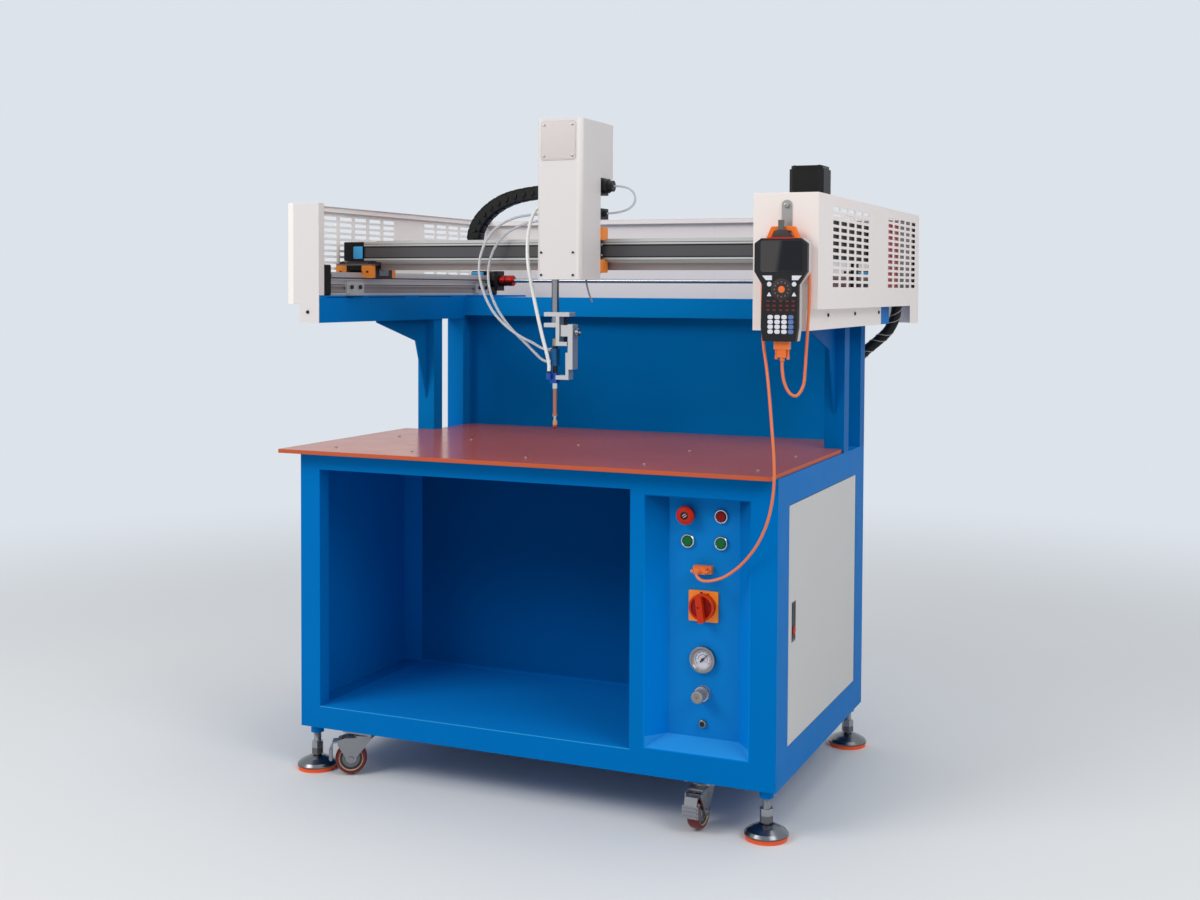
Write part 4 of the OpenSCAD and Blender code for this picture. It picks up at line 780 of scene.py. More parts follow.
def hook_finish():
    """Bright plate with a darker prong."""
    f = Finish("hook_steel", (168, 165, 161), 0.34, 0.8, mottle=0.06, relief=0.02, smudge=0.15)
    prong = (f.y < -9) * (f.x < 20) * f.z.between(1130, 1165)
    f.paint(prong, (104, 99, 94), 0.4, 0.6)
    return f.done()


def screen_finish():
    """Dark glass, with a painted reflection that makes it paler towards one upper corner."""
    f = Finish("screen_glass", (15, 17, 26), 0.12, mottle=0.15, relief=0.0, smudge=0.05, gloss=0.3)
    # painted reflection, paler towards one upper corner
    pale = (f.x * -1 + f.z * 0.15).ease(147, 160)
    f.paint(pale * 0.8, (76, 72, 70))
    return f.done()


def ribbed(name, colour, rough, metal, middle, count):
    """A knob with grip ribs round its axis."""
    f = Finish(name, colour, rough, metal, relief=0.02, smudge=0.1)
    angle = f.node("ShaderNodeMath", {"operation": "ARCTAN2"}, {0: f.x - middle[0], 1: f.z - middle[1]})
    f.carve(angle.math("SINE", angle * count) * 0.25)
    return f.done()


FINISH = {
    "cabinet": cabinet_finish(),
    "control_panel": panel_finish(),
    "gantry_frame": frame_finish(),
    "tabletop": tabletop_finish(),
    "covers": cover_finish("cover_paint", with_painted_light=True),
    # the door's paint is the covers' white darkened, as painted shade
    "door": cover_finish("door_paint", (202, 201, 199)),
    "modules": module_finish(),
    "drives": drive_finish(),
    "carriages": carriage_finish(),
    "wipers": plain("wiper_orange", (243, 140, 44), 0.45),
    "junction": plain("box_red", (186, 32, 34), 0.4, mottle=0.06, relief=0.04),
    "conduit": plain("conduit_black", (17, 17, 19), 0.5, mottle=0.2, relief=0.08, grain=500, gloss=0.25),
    "chain": plain("chain_black", (13, 13, 14), 0.46, mottle=0.2, relief=0.05, grain=600, gloss=0.25),
    "zinc": plain("caster_steel", (148, 149, 152), 0.3, 0.85, mottle=0.16, relief=0.04, grain=300,
                  smudge=0.24),
    "foot": foot_finish(),
    "fittings": fittings_finish(),
    "rod": plain("rod_chrome", (158, 158, 161), 0.16, 1.0, mottle=0.04, relief=0.0),
    "hook": hook_finish(),
    "shaft": shaft_finish(),
    "knob_steel": plain("knob_steel", (112, 122, 134), 0.34, 1.0, relief=0.01),
    "knob_brass": plain("knob_brass", (176, 158, 120), 0.3, 1.0, relief=0.01),
    "nozzle": nozzle_finish(),
    "bracket": bracket_finish(),
    "valve": valve_finish(),
    "switch_orange": plain("switch_orange", (255, 140, 22), 0.42, mottle=0.04),
    "switch_red": switch_finish(),
    "stop_red": plain("stop_red", (196, 36, 16), 0.46, gloss=0.2),
    "button_red": plain("button_red", (134, 4, 8), 0.34, mottle=0.06, relief=0.01, gloss=0.2),
    "button_green": plain("button_green", (0, 104, 52), 0.34, mottle=0.06, relief=0.01, gloss=0.2),
    "regulator": ribbed("regulator_grey", (150, 146, 142), 0.42, 0.2, (COLUMN, REGULATOR_Z), 24),
    "needle": plain("needle_black", (18, 18, 20), 0.5),
    "pendant": pendant_finish(),
    "plug": plain("plug_orange", (240, 122, 48), 0.45),
    "cable": plain("cable_orange", (235, 122, 70), 0.4, relief=0.02),
    "handle": plain("handle_black", (22, 24, 30), 0.4, mottle=0.08, gloss=0.3),
    "hose_clear": plain("hose_clear", (222, 224, 228), 0.18, mottle=0.03, relief=0.0,
                        Transmission_Weight=0.45, IOR=1.42),
    "hose_white": plain("hose_white", (238, 237, 234), 0.25, mottle=0.03, relief=0.0,
                        Subsurface_Weight=0.15),
    "plate": plain("plate_bare", (186, 178, 175), 0.4, 1.0, smudge=0.14, stretch=(0.05, 1, 1)),
    "screw_dark": plain("screw_dark", (40, 40, 42), 0.4, 0.7, relief=0.0),
    "screw_bright": plain("screw_bright", (186, 187, 190), 0.28, 1.0, relief=0.0),
    "cap_blue": plain("cap_blue", (60, 166, 226), 0.4, mottle=0.04, relief=0.02),
    "end_maroon": plain("end_maroon", (96, 40, 42), 0.35, 0.3, mottle=0.06),
    "glass_black": screen_finish(),
    "key_white": plain("key_white", (224, 224, 232), 0.4, mottle=0.03, relief=0.01),
    "key_blue": plain("key_blue", (92, 120, 176), 0.4, mottle=0.04, relief=0.01),
    "key_red": plain("key_red", (108, 40, 38), 0.45, relief=0.01, gloss=0.3),
    "pad_grey": plain("pad_grey", (50, 43, 43), 0.5, mottle=0.1, relief=0.06, grain=500, gloss=0.3),
    "pad_mark": plain("pad_mark", (112, 94, 88), 0.5, relief=0.01),
    "rubber_orange": plain("rubber_orange", (236, 112, 44), 0.5, relief=0.04),
    "wrap": plain("conduit_wrap", (170, 161, 152), 0.5, relief=0.02),
    "duct_grey": plain("duct_grey", (118, 116, 116), 0.5, mottle=0.06),
    "pale_mark": plain("pale_mark", (196, 190, 188), 0.5, relief=0.01),
    "bright_ring": plain("bright_ring", (172, 174, 178), 0.26, 1.0, mottle=0.03, relief=0.0, smudge=0.12),
    "grey_plate": plain("grey_plate", (118, 120, 124), 0.35, 0.7, relief=0.02),
}

# each finish's CAD nodes
COATED = {
    "cabinet": "cabinet", "control_panel": "control_panel", "tabletop": "tabletop",
    "gantry_frame": "gantry_frame",
    "covers": "left_cover right_cover head_cover", "door": "side_door", "handle": "door_handle",
    "modules": "y_modules x_module", "drives": "y_drive_ends x_drive", "carriages": "y_carriages x_carriage",
    "wipers": "y_wipers x_wipers", "shaft": "sync_shaft", "junction": "junction_box", "conduit": "conduit",
    "chain": "drag_chain", "zinc": "caster_plates fork_fl fork_fr fork_rl fork_rr pedal_fl pedal_fr",
    "foot": "foot_fl foot_fr foot_rl foot_rr", "fittings": "panel_fittings", "switch_orange": "switch_plate",
    "switch_red": "switch_knob", "stop_red": "estop_button", "button_red": "stop_button",
    "button_green": "start_button reset_button", "regulator": "regulator_knob", "needle": "gauge_needle",
    "hook": "pendant_hook", "pendant": "pendant", "plug": "cable_plugs", "cable": "pendant_cable",
    "hose_clear": "loop_tube air_hose_a air_hose_b", "hose_white": "glue_hose", "rod": "lift_rod",
    "bracket": "lift_bracket fine_slide", "knob_steel": "fine_knob", "knob_brass": "stroke_knob",
    "valve": "valve", "nozzle": "nozzle",
}
for finish_name, node_names in COATED.items():
    for node_name in node_names.split():
        coat_node(node_name, FINISH[finish_name])

# swivel point and heading of each castor, as in the part's source
CASTERS = {"fl": (-1000, 32, 30), "fr": (-170, 45, 88), "rl": (-1000, 677, 0), "rr": (-170, 677, 20)}


def caster_point(corner, reach, z):
    x, y, turn = CASTERS[corner]
    a = math.radians(turn)
    return at(x - reach * math.cos(a), y - reach * math.sin(a), z)


def axle_of(corner):
    a = math.radians(CASTERS[corner][2])
    return Vector((-math.sin(a), math.cos(a), 0))


for corner in CASTERS:
    coat_node("wheel_" + corner, wheel_finish(corner, caster_point(corner, 30, -64), axle_of(corner)))


def ease_edges(name, width, steps=2):
    """A small live bevel on a CAD node's own edges, after a live weld of its loose triangles."""
    node = nodes[name]
    weld = node.modifiers.new("weld", "WELD")
    weld.merge_threshold = 0.00001
    edge = node.modifiers.new("edge", "BEVEL")
    edge.width = width / 1000
    edge.segments = steps
    edge.limit_method = "ANGLE"
    edge.angle_limit = math.radians(40)
    edge.harden_normals = True


for node_name, width in (("cabinet", 1.5), ("gantry_frame", 1.2), ("left_cover", 0.5),
                         ("right_cover", 0.5), ("head_cover", 0.5), ("tabletop", 0.6), ("junction_box", 1),
                         ("pendant", 1.5), ("side_door", 0.5), ("switch_plate", 0.8), ("x_carriage", 0.4),
                         ("lift_bracket", 0.4), ("fine_slide", 0.4), ("cable_plugs", 0.8)):
    ease_edges(node_name, width)


# Cords

def declare(piece, node, line, d, far_end, stiffness, lay, **more):
    """Hide the CAD node that a tube takes the place of; the line's length is measured but not kept."""
    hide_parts(node)
    length_of(line)


def lay_cords():
    line = route(CABLE, 6)
    cable = dress(tube("pendant_cable_tube", line, 6, 12), "cable", "base")
    declare(cable, "pendant_cable", line, 6, "connector", "limp", "hanging",
            with_pieces=[nodes["cable_plugs"]])

    line = route(CONDUIT, 8)
    bundle = dress(tube("conduit_tube", line, 26, 20), "conduit", "base")
    wraps = [dress(spiral(name, line, 26.6, 62, start), "wrap", "base")
             for name, start in (("conduit_wrap_a", 0.0), ("conduit_wrap_b", 2.2))]
    declare(bundle, "conduit", line, 26, "object", "stiff", "hanging", with_pieces=wraps)

    line = route(LOOP, 8)
    loop = dress(tube("loop_tube_clear", line, 5, 12), "hose_clear", "head")
    declare(loop, "loop_tube", line, 5, "object", "medium", "loose")

    for name, points, d, material, node in (
            ("air_hose_front", HOSE_A, 6, "hose_clear", "air_hose_a"),
            ("air_hose_back", HOSE_B, 6, "hose_clear", "air_hose_b"),
            ("glue_hose_milky", GLUE, 8, "hose_white", "glue_hose")):
        line = route(points, 8)
        hose = tube(name, line, d, 12)
        hose.data.materials.append(FINISH[material])
        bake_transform(hose)
        declare(hose, node, line, d, "object", "medium", "hanging")


def spiral(name, line, d, pitch, start):
    """A thin band wound round a tube that follows a line."""
    steps = 160
    even = evenly(line, steps)
    side = (even[1] - even[0]).cross(Vector((0.3, 0.2, 1))).normalized()
    wound, gone = [], 0.0
    for i, point in enumerate(even):
        ahead = (even[min(i + 1, steps)] - even[max(i - 1, 0)]).normalized()
        side = (side - ahead * side.dot(ahead)).normalized()
        turn = start + gone * 1000 / pitch * 2 * math.pi
        wound.append(point + (side * math.cos(turn) + ahead.cross(side) * math.sin(turn)) * (d / 2000))
        if i < steps:
            gone += (even[i + 1] - point).length
    return tube(name, wound, 2, 6)


def chain_link(pitch):
    """One link of the energy chain at the origin, along X: two side plates, two bars and the pins."""
    parts = []
    for s in (-1, 1):
        cheek = block("cheek", mm(-3, s * 13.6, -14.6), mm(pitch + 3, s * 16.4, 14.6))
        round_corners(cheek, ALONG_Y, 6, 3)
        parts.append(sink(cheek, ALONG_Y * s, 2.4, 0.7))
        parts.append(rod("pin", mm(0, s * 13, 0), mm(0, s * 18.4, 0), 13, 16))
    for s in (-1, 1):
        bar = block("bar", mm(3, -14, s * 12), mm(pitch - 3, 14, s * 15))
        parts.append(round_corners(bar, ALONG_Y, 1, 1))
    link = join(parts, "link")
    return soften(link, 0.5, 1)


def lay_chain():
    """Links along the chain's route, in two pieces that turn smoothly from the bridge to the head."""
    links = 23
    line = evenly(route(CHAIN, 12), links)
    pitch = length_of(line) / links * 1000
    link = chain_link(pitch)
    runs = {"energy_chain_run": [], "energy_chain_bend": []}
    for a, b in zip(line, line[1:]):
        ahead = (b - a).normalized()
        turn = Matrix((ahead, ALONG_Y, ahead.cross(ALONG_Y))).transposed().to_4x4()
        straight = b.x > at(-750, 0, 0).x and b.z > at(0, 0, 1200).z
        part = "energy_chain_run" if straight else "energy_chain_bend"
        runs[part].append(copy_of(link, Matrix.Translation(a) @ turn))
    remove(link)
    for name, start, end in (("energy_chain_run", at(-980, 272, 1240), at(-605, 272, 1240)),
                             ("energy_chain_bend", at(-755, 272, 1100), at(-755, 272, 1320))):
        chain = join(runs[name], name)
        chain.data.materials.clear()
        chain.data.materials.append(FINISH["chain"])
        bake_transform(chain)
        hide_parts("drag_chain")


lay_cords()
lay_chain()


def plate(name, a, b, corner, finish, body, slot, sunk=None, edge=None):
    """A block with its corners rounded, a face sunk and its edges softened as given, then dressed."""
    piece = round_corners(block(name, a, b), *corner)
    if sunk:
        sink(piece, *sunk)
    if edge:
        soften(piece, *edge)
    return dress(piece, finish, body)


# Screws and small fasteners

def socket_head(d):
    """A cap screw's head at the origin, looking up Z, with a socket sunk in its top."""
    head = rod("head", mm(0, 0, 0), mm(0, 0, 0.55 * d), d, 20)
    sink(head, ALONG_Z, 0.22 * d, 0.3 * d)
    return soften(head, 0.06 * d, 1)


def pan_head(d):
    """A domed head with a sunk cross."""
    head = rod("head", mm(0, 0, 0), mm(0, 0, 0.3 * d), d, 20)
    pick(head, facing(ALONG_Z))
    bpy.ops.mesh.inset(thickness=0.16 * d / 1000, depth=0.08 * d / 1000)
    leave_edit()
    soften(head, 0.04 * d, 1)
    hold(head)
    for turn in (0, math.pi / 2):
        deselect()
        bpy.ops.mesh.primitive_cube_add(size=1, location=mm(0, 0, 0.38 * d), rotation=(0, 0, turn),
                                        scale=mm(0.56 * d, 0.12 * d, 0.26 * d))
        slot_cut = settle("cut")
        hold(head)
        cut = head.modifiers.new("cut", "BOOLEAN")
        cut.operation = "DIFFERENCE"
        cut.object = slot_cut
        bpy.ops.object.modifier_apply(modifier=cut.name)
        remove(slot_cut)
    return head


def fasten(name, head, spots, direction, finish, body):
    """One piece of all the screws that a body has in one direction."""
    copies = [copy_of(head, stand(at(*spot), direction)) for spot in spots]
    remove(head)
    return dress(join(copies, name), finish, body)


fasten("head_plate_screws", pan_head(5.4), [(x, 74.75, z) for x in (-563.5, -495.5) for z in (1312, 1379.7)],
       front, "screw_bright", "head")
fasten("head_cover_screws", socket_head(5), [(x, 76.4, z) for x in (-570, -493) for z in (1051.6, 1101)],
       front, "screw_dark", "head")
fasten("left_cover_screws", pan_head(8), [(-1130, -1.5, 965)], front, "screw_dark", "base")
fasten("left_skirt_screws", pan_head(8), [(-1153.5, y, 968) for y in (160, 390, 620)], leftwards,
       "screw_dark", "base")
fasten("right_skirt_screws", pan_head(8), [(55.5, y, 969.5) for y in (160, 390, 622)], right,
       "screw_dark", "base")
fasten("hook_screw", pan_head(10), [(13.5, -6.5, 1190)], front, "hook", "base")
fasten("rear_wall_screws", pan_head(8),
       [(x, 974.2, z) for x in (-1160, -860, -560, -260, 55) for z in (960, 1196)],
       back, "covers", "base")
for name, y, direction in (("front_wiper_screws", 182.2, front), ("rear_wiper_screws", 286.8, back)):
    fasten(name, socket_head(5), [(x + s * 38, y, 1060) for x in MODULES for s in (-1, 1)],
           direction, "screw_dark", "bridge")
for name, x, direction in (("head_wiper_screws", -473.6, right),
                           ("head_wiper_screws_left", -579.4, leftwards)):
    fasten(name, socket_head(4.6), [(x, 190, X_MODULE_Z + s * 36) for s in (-1, 1)],
           direction, "screw_dark", "head")
fasten("carriage_screws", socket_head(6), [(-473.4, 181, X_MODULE_Z + s * 12) for s in (-1, 1)],
       right, "screw_bright", "head")
fasten("motor_screws", socket_head(7),
       [(-4.5 + u * 27, 229 + v * 27, 1283.2) for u in (-1, 1) for v in (-1, 1)],
       ALONG_Z, "screw_dark", "bridge")
fasten("adapter_screws", socket_head(8),
       [(x + s * 40, y, 1079) for x in MODULES for s in (-1, 1) for y in (187, 196)],
       ALONG_Z, "screw_dark", "bridge")
fasten("table_screws", socket_head(7),
       [(x, y, 647) for x in (-1090, -885, -595, -313, -60) for y in (52, 330)],
       ALONG_Z, "hook", "base")


# Head and bridge details

def head_details():
    plate("name_plate_bare", at(-572, 74.8, 1303), at(-487, 76.05, 1388.7), (ALONG_Y, 8, 6), "plate", "head",
          "bracket_aluminium", sunk=(front, 2.2, -0.25), edge=(0.3, 1))
    drain = route([(-497, 150, 1070), (-496, 150, 1046), (-491, 151, 1020), (-481, 152, 992)], 5)
    dress(tube("drain_tube", drain, 4, 10), "grey_plate", "head")


def module_caps():
    plate("bridge_cap", at(-1131.5, 187.4, 1091), at(-1106, 192.2, 1121), (ALONG_Y, 3, 3),
          "cap_blue", "bridge", "drive_black", edge=(0.6, 2))
    plate("bridge_end_plate", at(-1162.2, 193.5, 1087.5), at(-1160.8, 245.5, 1130.5), (ALONG_X, 3, 3),
          "end_maroon", "bridge", "drive_black", edge=(0.3, 1))
    for x, side in zip(MODULES, ("left", "right")):
        plate("rear_cap_" + side, at(x - 15, 789.5, 1057.4), at(x + 15, 811.6, 1067), (ALONG_Z, 3, 3),
              "cap_blue", "base", "drive_black", edge=(0.8, 2))


def carriage_plates():
    inset = sink(round_corners(block("inset", mm(-21, -9.5, 0), mm(21, 9.5, 1.4)), ALONG_Z, 1.5, 3),
                 ALONG_Z, 1.4, 0.5)
    for x, name in zip(MODULES, ("left", "right")):
        for s, side in ((-1, "outer"), (1, "inner")):
            turn = (Matrix.Translation(at(x + s * 51, 234.5, 1060))
                    @ Matrix.Rotation(s * math.pi / 2, 4, "Y") @ Matrix.Rotation(math.pi / 2, 4, "Z"))
            dress(copy_of(inset, turn, "carriage_plate_%s_%s" % (name, side)), "grey_plate", "bridge")
    remove(inset)


def cover_lips():
    """Returns of the covers' top flanges, folded down along the walls."""
    lips = [block("lip", at(-1172.6, 16, 1203), at(-1171.2, 955, 1214.4)),
            block("lip", at(-1171, 956.7, 1203), at(60, 958.1, 1214.4)),
            block("lip", at(60.7, 16, 1203), at(62.1, 955, 1214.4))]
    dress(soften(join(lips, "cover_flange_returns"), 0.4, 1), "covers", "base")


def duct_behind_vents():
    """Slotted wiring duct in the rear right corner, and the junction box's mounting plate."""
    parts = [block("duct", at(32, 934, 986), at(69, 971.5, 1196)),
             block("duct", at(30.5, 930.5, 984), at(70.5, 934.5, 1198))]
    parts += [block("finger", at(68, 936, z), at(70.3, 971, z + 8)) for z in range(992, 1190, 13)]
    dress(soften(join(parts, "wiring_duct"), 0.4, 1), "duct_grey", "base")
    plate("junction_plate", at(72.2, 623, 1006), at(73.6, 758, 1187), (ALONG_X, 6, 4), "junction", "base",
          "box_red", edge=(0.3, 1))


cover_lips()
duct_behind_vents()
head_details()
module_caps()
carriage_plates()


# Control panel details

def turned(name, profile, middle, axis, finish, body, steps=40):
    """A body turned from a profile of (radius, height) about an axis."""
    deselect()
    bpy.ops.mesh.primitive_circle_add(vertices=steps, radius=profile[0][0] / 1000, fill_type="NGON")
    piece = settle(name)
    hold(piece)
    bpy.ops.object.mode_set(mode="EDIT")
    bpy.ops.mesh.select_all(action="SELECT")
    for (r0, z0), (r1, z1) in zip(profile, profile[1:]):
        bpy.ops.mesh.extrude_region_move(TRANSFORM_OT_translate={"value": (0, 0, (z1 - z0) / 1000)})
        bpy.ops.transform.resize(value=(r1 / r0, r1 / r0, 1), center_override=(0, 0, 0))
    bpy.ops.mesh.select_all(action="SELECT")
    bpy.ops.mesh.normals_make_consistent(inside=False)
    leave_edit()
    piece.data.transform(stand(middle, axis))
    bpy.ops.object.shade_smooth_by_angle(angle=math.radians(32))
    return dress(piece, finish, body)


def open_middle(piece, middle, axis):
    """Make a turned piece a ring: its two end discs go, and their rims are joined."""
    pick(piece, lambda point, normal: (point - middle).cross(axis).length < 0.001)
    bpy.ops.mesh.delete(type="ONLY_FACE")
    bpy.ops.mesh.select_mode(type="EDGE")
    bpy.ops.mesh.select_all(action="DESELECT")
    bpy.ops.mesh.select_non_manifold()
    bpy.ops.mesh.bridge_edge_loops()
    bpy.ops.mesh.select_all(action="SELECT")
    bpy.ops.mesh.normals_make_consistent(inside=False)
    leave_edit()


def taper(piece, axis, sizes, middle):
    """Shrink the face that looks along an axis."""
    pick(piece, facing(axis))
    bpy.ops.transform.resize(value=sizes, center_override=middle)
    leave_edit()


def turn_about(piece, middle, angle):
    """Turn a piece in the plane of the panel."""
    centre = Matrix.Translation(middle)
    piece.data.transform(centre @ Matrix.Rotation(angle, 4, "Y") @ centre.inverted())


def panel_details():
    turned("gauge_bezel", [(28.05, 0), (28.3, 1.5), (28.3, 6.6), (27.4, 8.4), (25.4, 9), (23.4, 8.4),
                           (22.6, 7.4), (17.8, 3.2), (17.3, 1)], at(COLUMN, 45, GAUGE_Z), front,
           "fittings", "base", 56)
    turned("gauge_hub", [(3, 0), (3, 1.4), (2.2, 2)], at(COLUMN, 40.6, GAUGE_Z), front, "needle", "needle",
           24)
    blade = block("gauge_needle_blade", at(-182, 40.1, GAUGE_Z - 1.4), at(-159.5, 40.6, GAUGE_Z + 1.4))
    taper(blade, ALONG_X, (1, 1, 0.3), at(-159.5, 40.3, GAUGE_Z))
    turn_about(blade, at(COLUMN, 40, GAUGE_Z), -math.pi / 4)
    dress(soften(blade, 0.15, 1), "needle", "needle")
    turned("stop_cap_insert", [(8.9, 0), (8.9, 0.9), (8, 1.5), (5.6, 1.6)], at(STOP_X, 24.2, STOP_Z), front,
           "screw_dark", "estop", 32)
    marks = [soften(block("mark", at(STOP_X - 4.6, 22.1, STOP_Z - 0.9 + shift),
                          at(STOP_X + 4.6, 22.8, STOP_Z + 0.9 + shift)), 0.3, 1) for shift in (-2.1, 2.1)]
    marks = join(marks, "stop_cap_marks")
    turn_about(marks, at(STOP_X, 22, STOP_Z), math.radians(-32))
    dress(marks, "pale_mark", "estop")
    for name, (x, z) in BUTTONS.items():
        material = "button_red" if name == "stop" else "button_green"
        turned(name + "_lens", [(9.9, 0), (9.9, 0.5), (9.2, 1.1), (7.6, 1.3), (7.2, 0.9), (3, 0.75)],
               at(x, 41.6, z), front, material, name + "_key", 36)
        lip = turned(name + "_bezel_lip", [(14.75, 0), (14.7, 0.8), (13.8, 1.6), (12.2, 1.7), (11.4, 0.9),
                                           (11.3, -3.6)], at(x, 43.05, z), front, "fittings", "base",
                     40)
        open_middle(lip, at(x, 43.05, z), front)
    turned("stop_collar_lip", [(15.1, 0), (15.1, 1), (14.2, 1.8)], at(STOP_X, 41.2, STOP_Z), front,
           "screw_dark", "base", 36)
    turned("socket_lip", [(8.1, 0), (8.1, 0.8), (7, 1.6), (4.9, 1.7), (4.4, 0.6), (4.2, -4)],
           at(COLUMN, 42.1, AIR_SOCKET_Z), front, "fittings", "base", 32)
    turned("regulator_cap", [(12.3, 0), (12.3, 0.6), (11, 1.6), (9.4, 1.8), (9.1, 1.2), (4, 1.1)],
           at(COLUMN, 8.1, REGULATOR_Z), front, "regulator", "regulator", 36)
    turned("regulator_ring", [(16.6, 0), (16.7, 2), (16, 3.4), (13.6, 3.8)], at(COLUMN, 38.4, REGULATOR_Z),
           front, "bright_ring", "base", 36)


def switch_details():
    turned("switch_rim", [(28.1, 0), (28.1, 2.6), (27.2, 3.8), (24.8, 4.2), (23.2, 3.4), (22.6, 0.8),
                          (12, 0.4)], at(COLUMN, 32.2, SWITCH_Z), front, "switch_red", "main_switch",
           48)
    pin = rod("switch_lock_hole", at(-176.5, 15.5, 361), at(-176.5, 16.6, 361), 4, 20)
    sink(pin, front, 0.8, 0.4)
    dress(pin, "screw_dark", "main_switch")
    slots = []
    for angle in (20, 140, 260):
        a = math.radians(angle)
        x, z = COLUMN + 19 * math.cos(a), SWITCH_Z + 19 * math.sin(a)
        slots.append(sink(rod("slot", at(x, 31, z), at(x, 31.9, z), 4.4, 16), front, 0.8, 0.4))
    dress(join(slots, "switch_lock_slots"), "screw_dark", "main_switch")
    marks = []
    for x, z in ((-178.5, 388), (-163.5, 385.5)):
        mark = block("mark", at(x - 2.6, 42.6, z - 1.2), at(x + 2.6, 43.2, z + 1.2))
        marks.append(soften(round_corners(mark, ALONG_Y, 1, 2), 0.15, 1))
    dress(join(marks, "switch_plate_marks"), "needle", "base")


panel_details()
switch_details()


# Door, plugs and pendant

def door_details():
    bars = [soften(block("bar", at(-0.9, y0, z0), at(0.55, y1, z1)), 0.2, 1) for y0, y1, z0, z1 in (
        (102.6, 104.6, 285.2, 370.8), (129.4, 131.4, 285.2, 370.8),
        (104.3, 129.7, 285.2, 287.1), (104.3, 129.7, 369.2, 370.8))]
    dress(join(bars, "door_handle_rim"), "bright_ring", "door")
    plate("door_handle_face", at(-0.5, 105, 292), at(1.2, 129, 368.4), (ALONG_X, 3, 4),
          "handle", "door_lever", "handle_black", sunk=(ALONG_X, 2, 0.5), edge=(0.25, 1))
    key = rod("door_lock_button", at(0.4, 117, 309), at(2.8, 117, 309), 17, 32)
    sink(key, ALONG_X, 3, 0.6)
    dress(soften(key, 0.5, 2), "stop_red", "door_lever")
    plate("door_handle_pull", at(0.7, 110, 330), at(1.05, 124, 363), (ALONG_X, 2.5, 4),
          "handle", "door_lever", "handle_black", sunk=(ALONG_X, 1.2, 0.3))


def on_pendant(u, v, y):
    """A place on the pendant: u across and v up from its bottom middle, y in depth."""
    return at(13.5 + u, y, 920 + v)


def pendant_details():
    face = -45.0
    plate("pendant_screen", on_pendant(-41, 137, face - 0.55), on_pendant(44, 199, face + 1),
          (ALONG_Y, 5, 4), "glass_black", "base", "pendant_black", sunk=(front, 1.6, 0.35), edge=(0.3, 1))
    dome = block("pendant_dome", on_pendant(-22, 202, -42.5), on_pendant(22, 220.5, -29))
    taper(dome, ALONG_Z, (0.5, 0.6, 1), on_pendant(0, 220, -34))
    round_corners(dome, ALONG_Y, 3, 3)
    dress(soften(dome, 1.5, 3), "pad_grey", "base")
    plate("pendant_accent", on_pendant(-27, 200.2, face + 0.2), on_pendant(25, 205.4, face + 4),
          (ALONG_Y, 2, 3), "stop_red", "base", "pendant_black", edge=(0.3, 1))

    keys = []
    for side, u in ((-1, -27), (1, 34)):
        tab = block("tab", on_pendant(u - 10, 121, face - 0.7), on_pendant(u + 10, 130, face + 1))
        taper(tab, -ALONG_Z, (0.62, 1, 1), on_pendant(u - side * 10, 121, face))
        keys.append(tab)
    for u in (-22.5, 28.5):
        keys.append(soften(rod("key", on_pendant(u, 113, face - 0.7), on_pendant(u, 113, face + 1), 9.4, 18),
                           0.3, 1))
    for u in (-22.5, 28.5):
        keys.append(round_corners(rod("key", on_pendant(u, 92, face - 0.7), on_pendant(u, 92, face + 1),
                                      11.4, 3), ALONG_Y, 1.2, 2))
    key = block("key", on_pendant(-5.6, -4.2, face - 0.75), on_pendant(5.6, 4.2, face + 1))
    soften(round_corners(key, ALONG_Y, 3.6, 4), 0.35, 1)
    columns, rows = (-19.8, -5.6, 8.6), (48, 38.4, 28.8, 19.2)
    keys += [copy_of(key, Matrix.Translation(mm(u, 0, v))) for u in columns for v in rows]
    dress(join(keys, "pendant_white_keys"), "key_white", "base")
    blues = [copy_of(key, Matrix.Translation(mm(22.4, 0, v))) for v in rows]
    remove(key)
    dress(join(blues, "pendant_blue_keys"), "key_blue", "base")

    pad_x, pad_z = 16.2, 1022.7
    turned("pendant_pad", [(21.5, 0), (21.5, 0.3), (20.5, 0.6), (8.4, 0.6), (8, 0.2)],
           at(pad_x, face + 0.1, pad_z), front, "pad_grey", "base", 48)
    turned("pendant_pad_centre", [(6.8, 0), (6.8, 0.5), (6, 0.8), (4, 0.85)], at(pad_x, face + 0.1, pad_z),
           front, "rubber_orange", "base", 36)
    dots = []
    for angle in range(0, 360, 30):
        a = math.radians(angle)
        x, z = pad_x + 14.6 * math.cos(a), pad_z + 14.6 * math.sin(a)
        dots.append(soften(rod("dot", at(x, face - 0.75, z), at(x, face, z), 3.2, 12), 0.2, 1))
    dress(join(dots, "pendant_pad_dots"), "pad_mark", "base")
    small = [block("key", on_pendant(u - 3.4, v - 2, face - 0.6), on_pendant(u + 3.4, v + 2, face + 1))
             for v in (79.5, 70.6, 61.8) for u in (-24.5, -12, 1.5, 14.5, 27)]
    small = round_corners(join(small, "pendant_small_keys"), ALONG_Y, 1.6, 2)
    dress(small, "key_red", "base")


def plug_details():
    ribs = [block("rib", at(4, -33.8, z), at(23, -21.2, z + 1.6)) for z in (891.5, 895.5, 899.5)]
    ribs += [block("rib", at(-187.6, y, 430.4), at(-160.4, y + 1.6, 443.6)) for y in (21, 25, 29)]
    dress(soften(join(ribs, "plug_ribs"), 0.3, 1), "plug", "base")
    knobs = [rod("knob", at(13.5 + s * 12, -27, 884), at(13.5 + s * 12, -27, 892), 6.2, 16) for s in (-1, 1)]
    knobs += [rod("knob", at(COLUMN + s * 16, 14.5, 437), at(COLUMN + s * 16, 22, 437), 6.2, 16)
              for s in (-1, 1)]
    dress(soften(join(knobs, "plug_thumbscrews"), 0.5, 1), "plug", "base")


door_details()
pendant_details()
plug_details()


# Stage and light

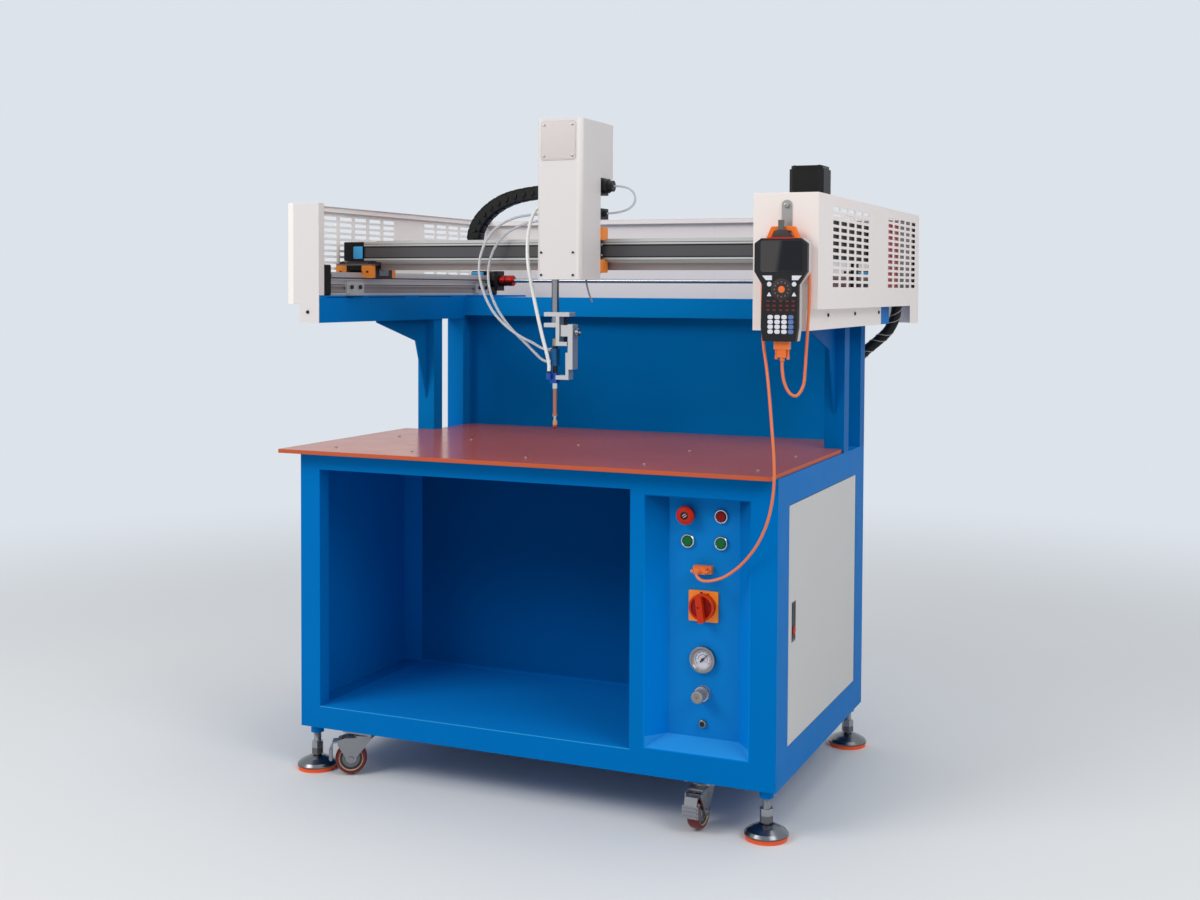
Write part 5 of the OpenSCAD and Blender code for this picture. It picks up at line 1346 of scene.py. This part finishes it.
def stage_floor():
    """Pale floor that keeps the object's shadow and fades into the backdrop."""
    deselect()
    bpy.ops.mesh.primitive_circle_add(vertices=96, radius=40, fill_type="NGON", location=(0, 0, -0.0005))
    floor = settle("floor")
    material = bpy.data.materials.new("floor_pale")
    material.use_nodes = True
    shading = Nodes(material.node_tree)
    near = shading.tree.nodes["Principled BSDF"]
    near.inputs["Base Color"].default_value = srgb(220, 222, 223)
    near.inputs["Roughness"].default_value = 0.9
    place = shading.node("ShaderNodeTexCoord", {}, {}, "Object")
    far = shading.node("ShaderNodeVectorMath", {"operation": "LENGTH"}, {0: place}, 1).ease(1.2, 4.5)
    glow = shading.node("ShaderNodeEmission", {}, {0: BACKDROP})
    shading.show(far * shading.rays("Is Camera Ray", "Is Glossy Ray"), near, glow, "Material Output")
    floor.data.materials.append(material)


def studio_world():
    """Even light, with the backdrop's colour where the sky is seen or mirrored."""
    world = bpy.data.worlds.new("studio")
    bpy.context.scene.world = world
    world.use_nodes = True
    shading = Nodes(world.node_tree)
    light = shading.tree.nodes["Background"]
    light.inputs[0].default_value = srgb(229, 232, 237)
    light.inputs[1].default_value = 0.58
    sky = shading.node("ShaderNodeBackground", {}, {0: BACKDROP})
    seen = shading.rays("Is Camera Ray", "Is Glossy Ray", "Is Transmission Ray")
    shading.show(seen, light, sky, "World Output")


def lamp(name, place, target, size, power, colour=(1, 1, 1)):
    light = bpy.data.lights.new(name, "AREA")
    light.shape = "RECTANGLE"
    light.size, light.size_y = size
    light.energy = power
    light.color = colour
    body = bpy.data.objects.new(name, light)
    bpy.context.scene.collection.objects.link(body)
    body.matrix_world = stand(Vector(place), Vector(place) - Vector(target))


BACKDROP = srgb(221, 227, 234)
stage_floor()
studio_world()
lamp("key", (-2.2, -3.4, 3.4), (0, -0.2, 0.8), (2.4, 1.8), 88, (1.0, 0.97, 0.93))
lamp("fill", (3.3, -2.0, 3.2), (0.2, 0, 1.0), (2.0, 2.0), 54, (0.98, 0.99, 1.0))
lamp("top", (0.2, 0.2, 4.0), (0, 0, 0.9), (3.0, 3.0), 46)
bpy.context.scene.view_settings.view_transform = "Standard"

leave_edit()
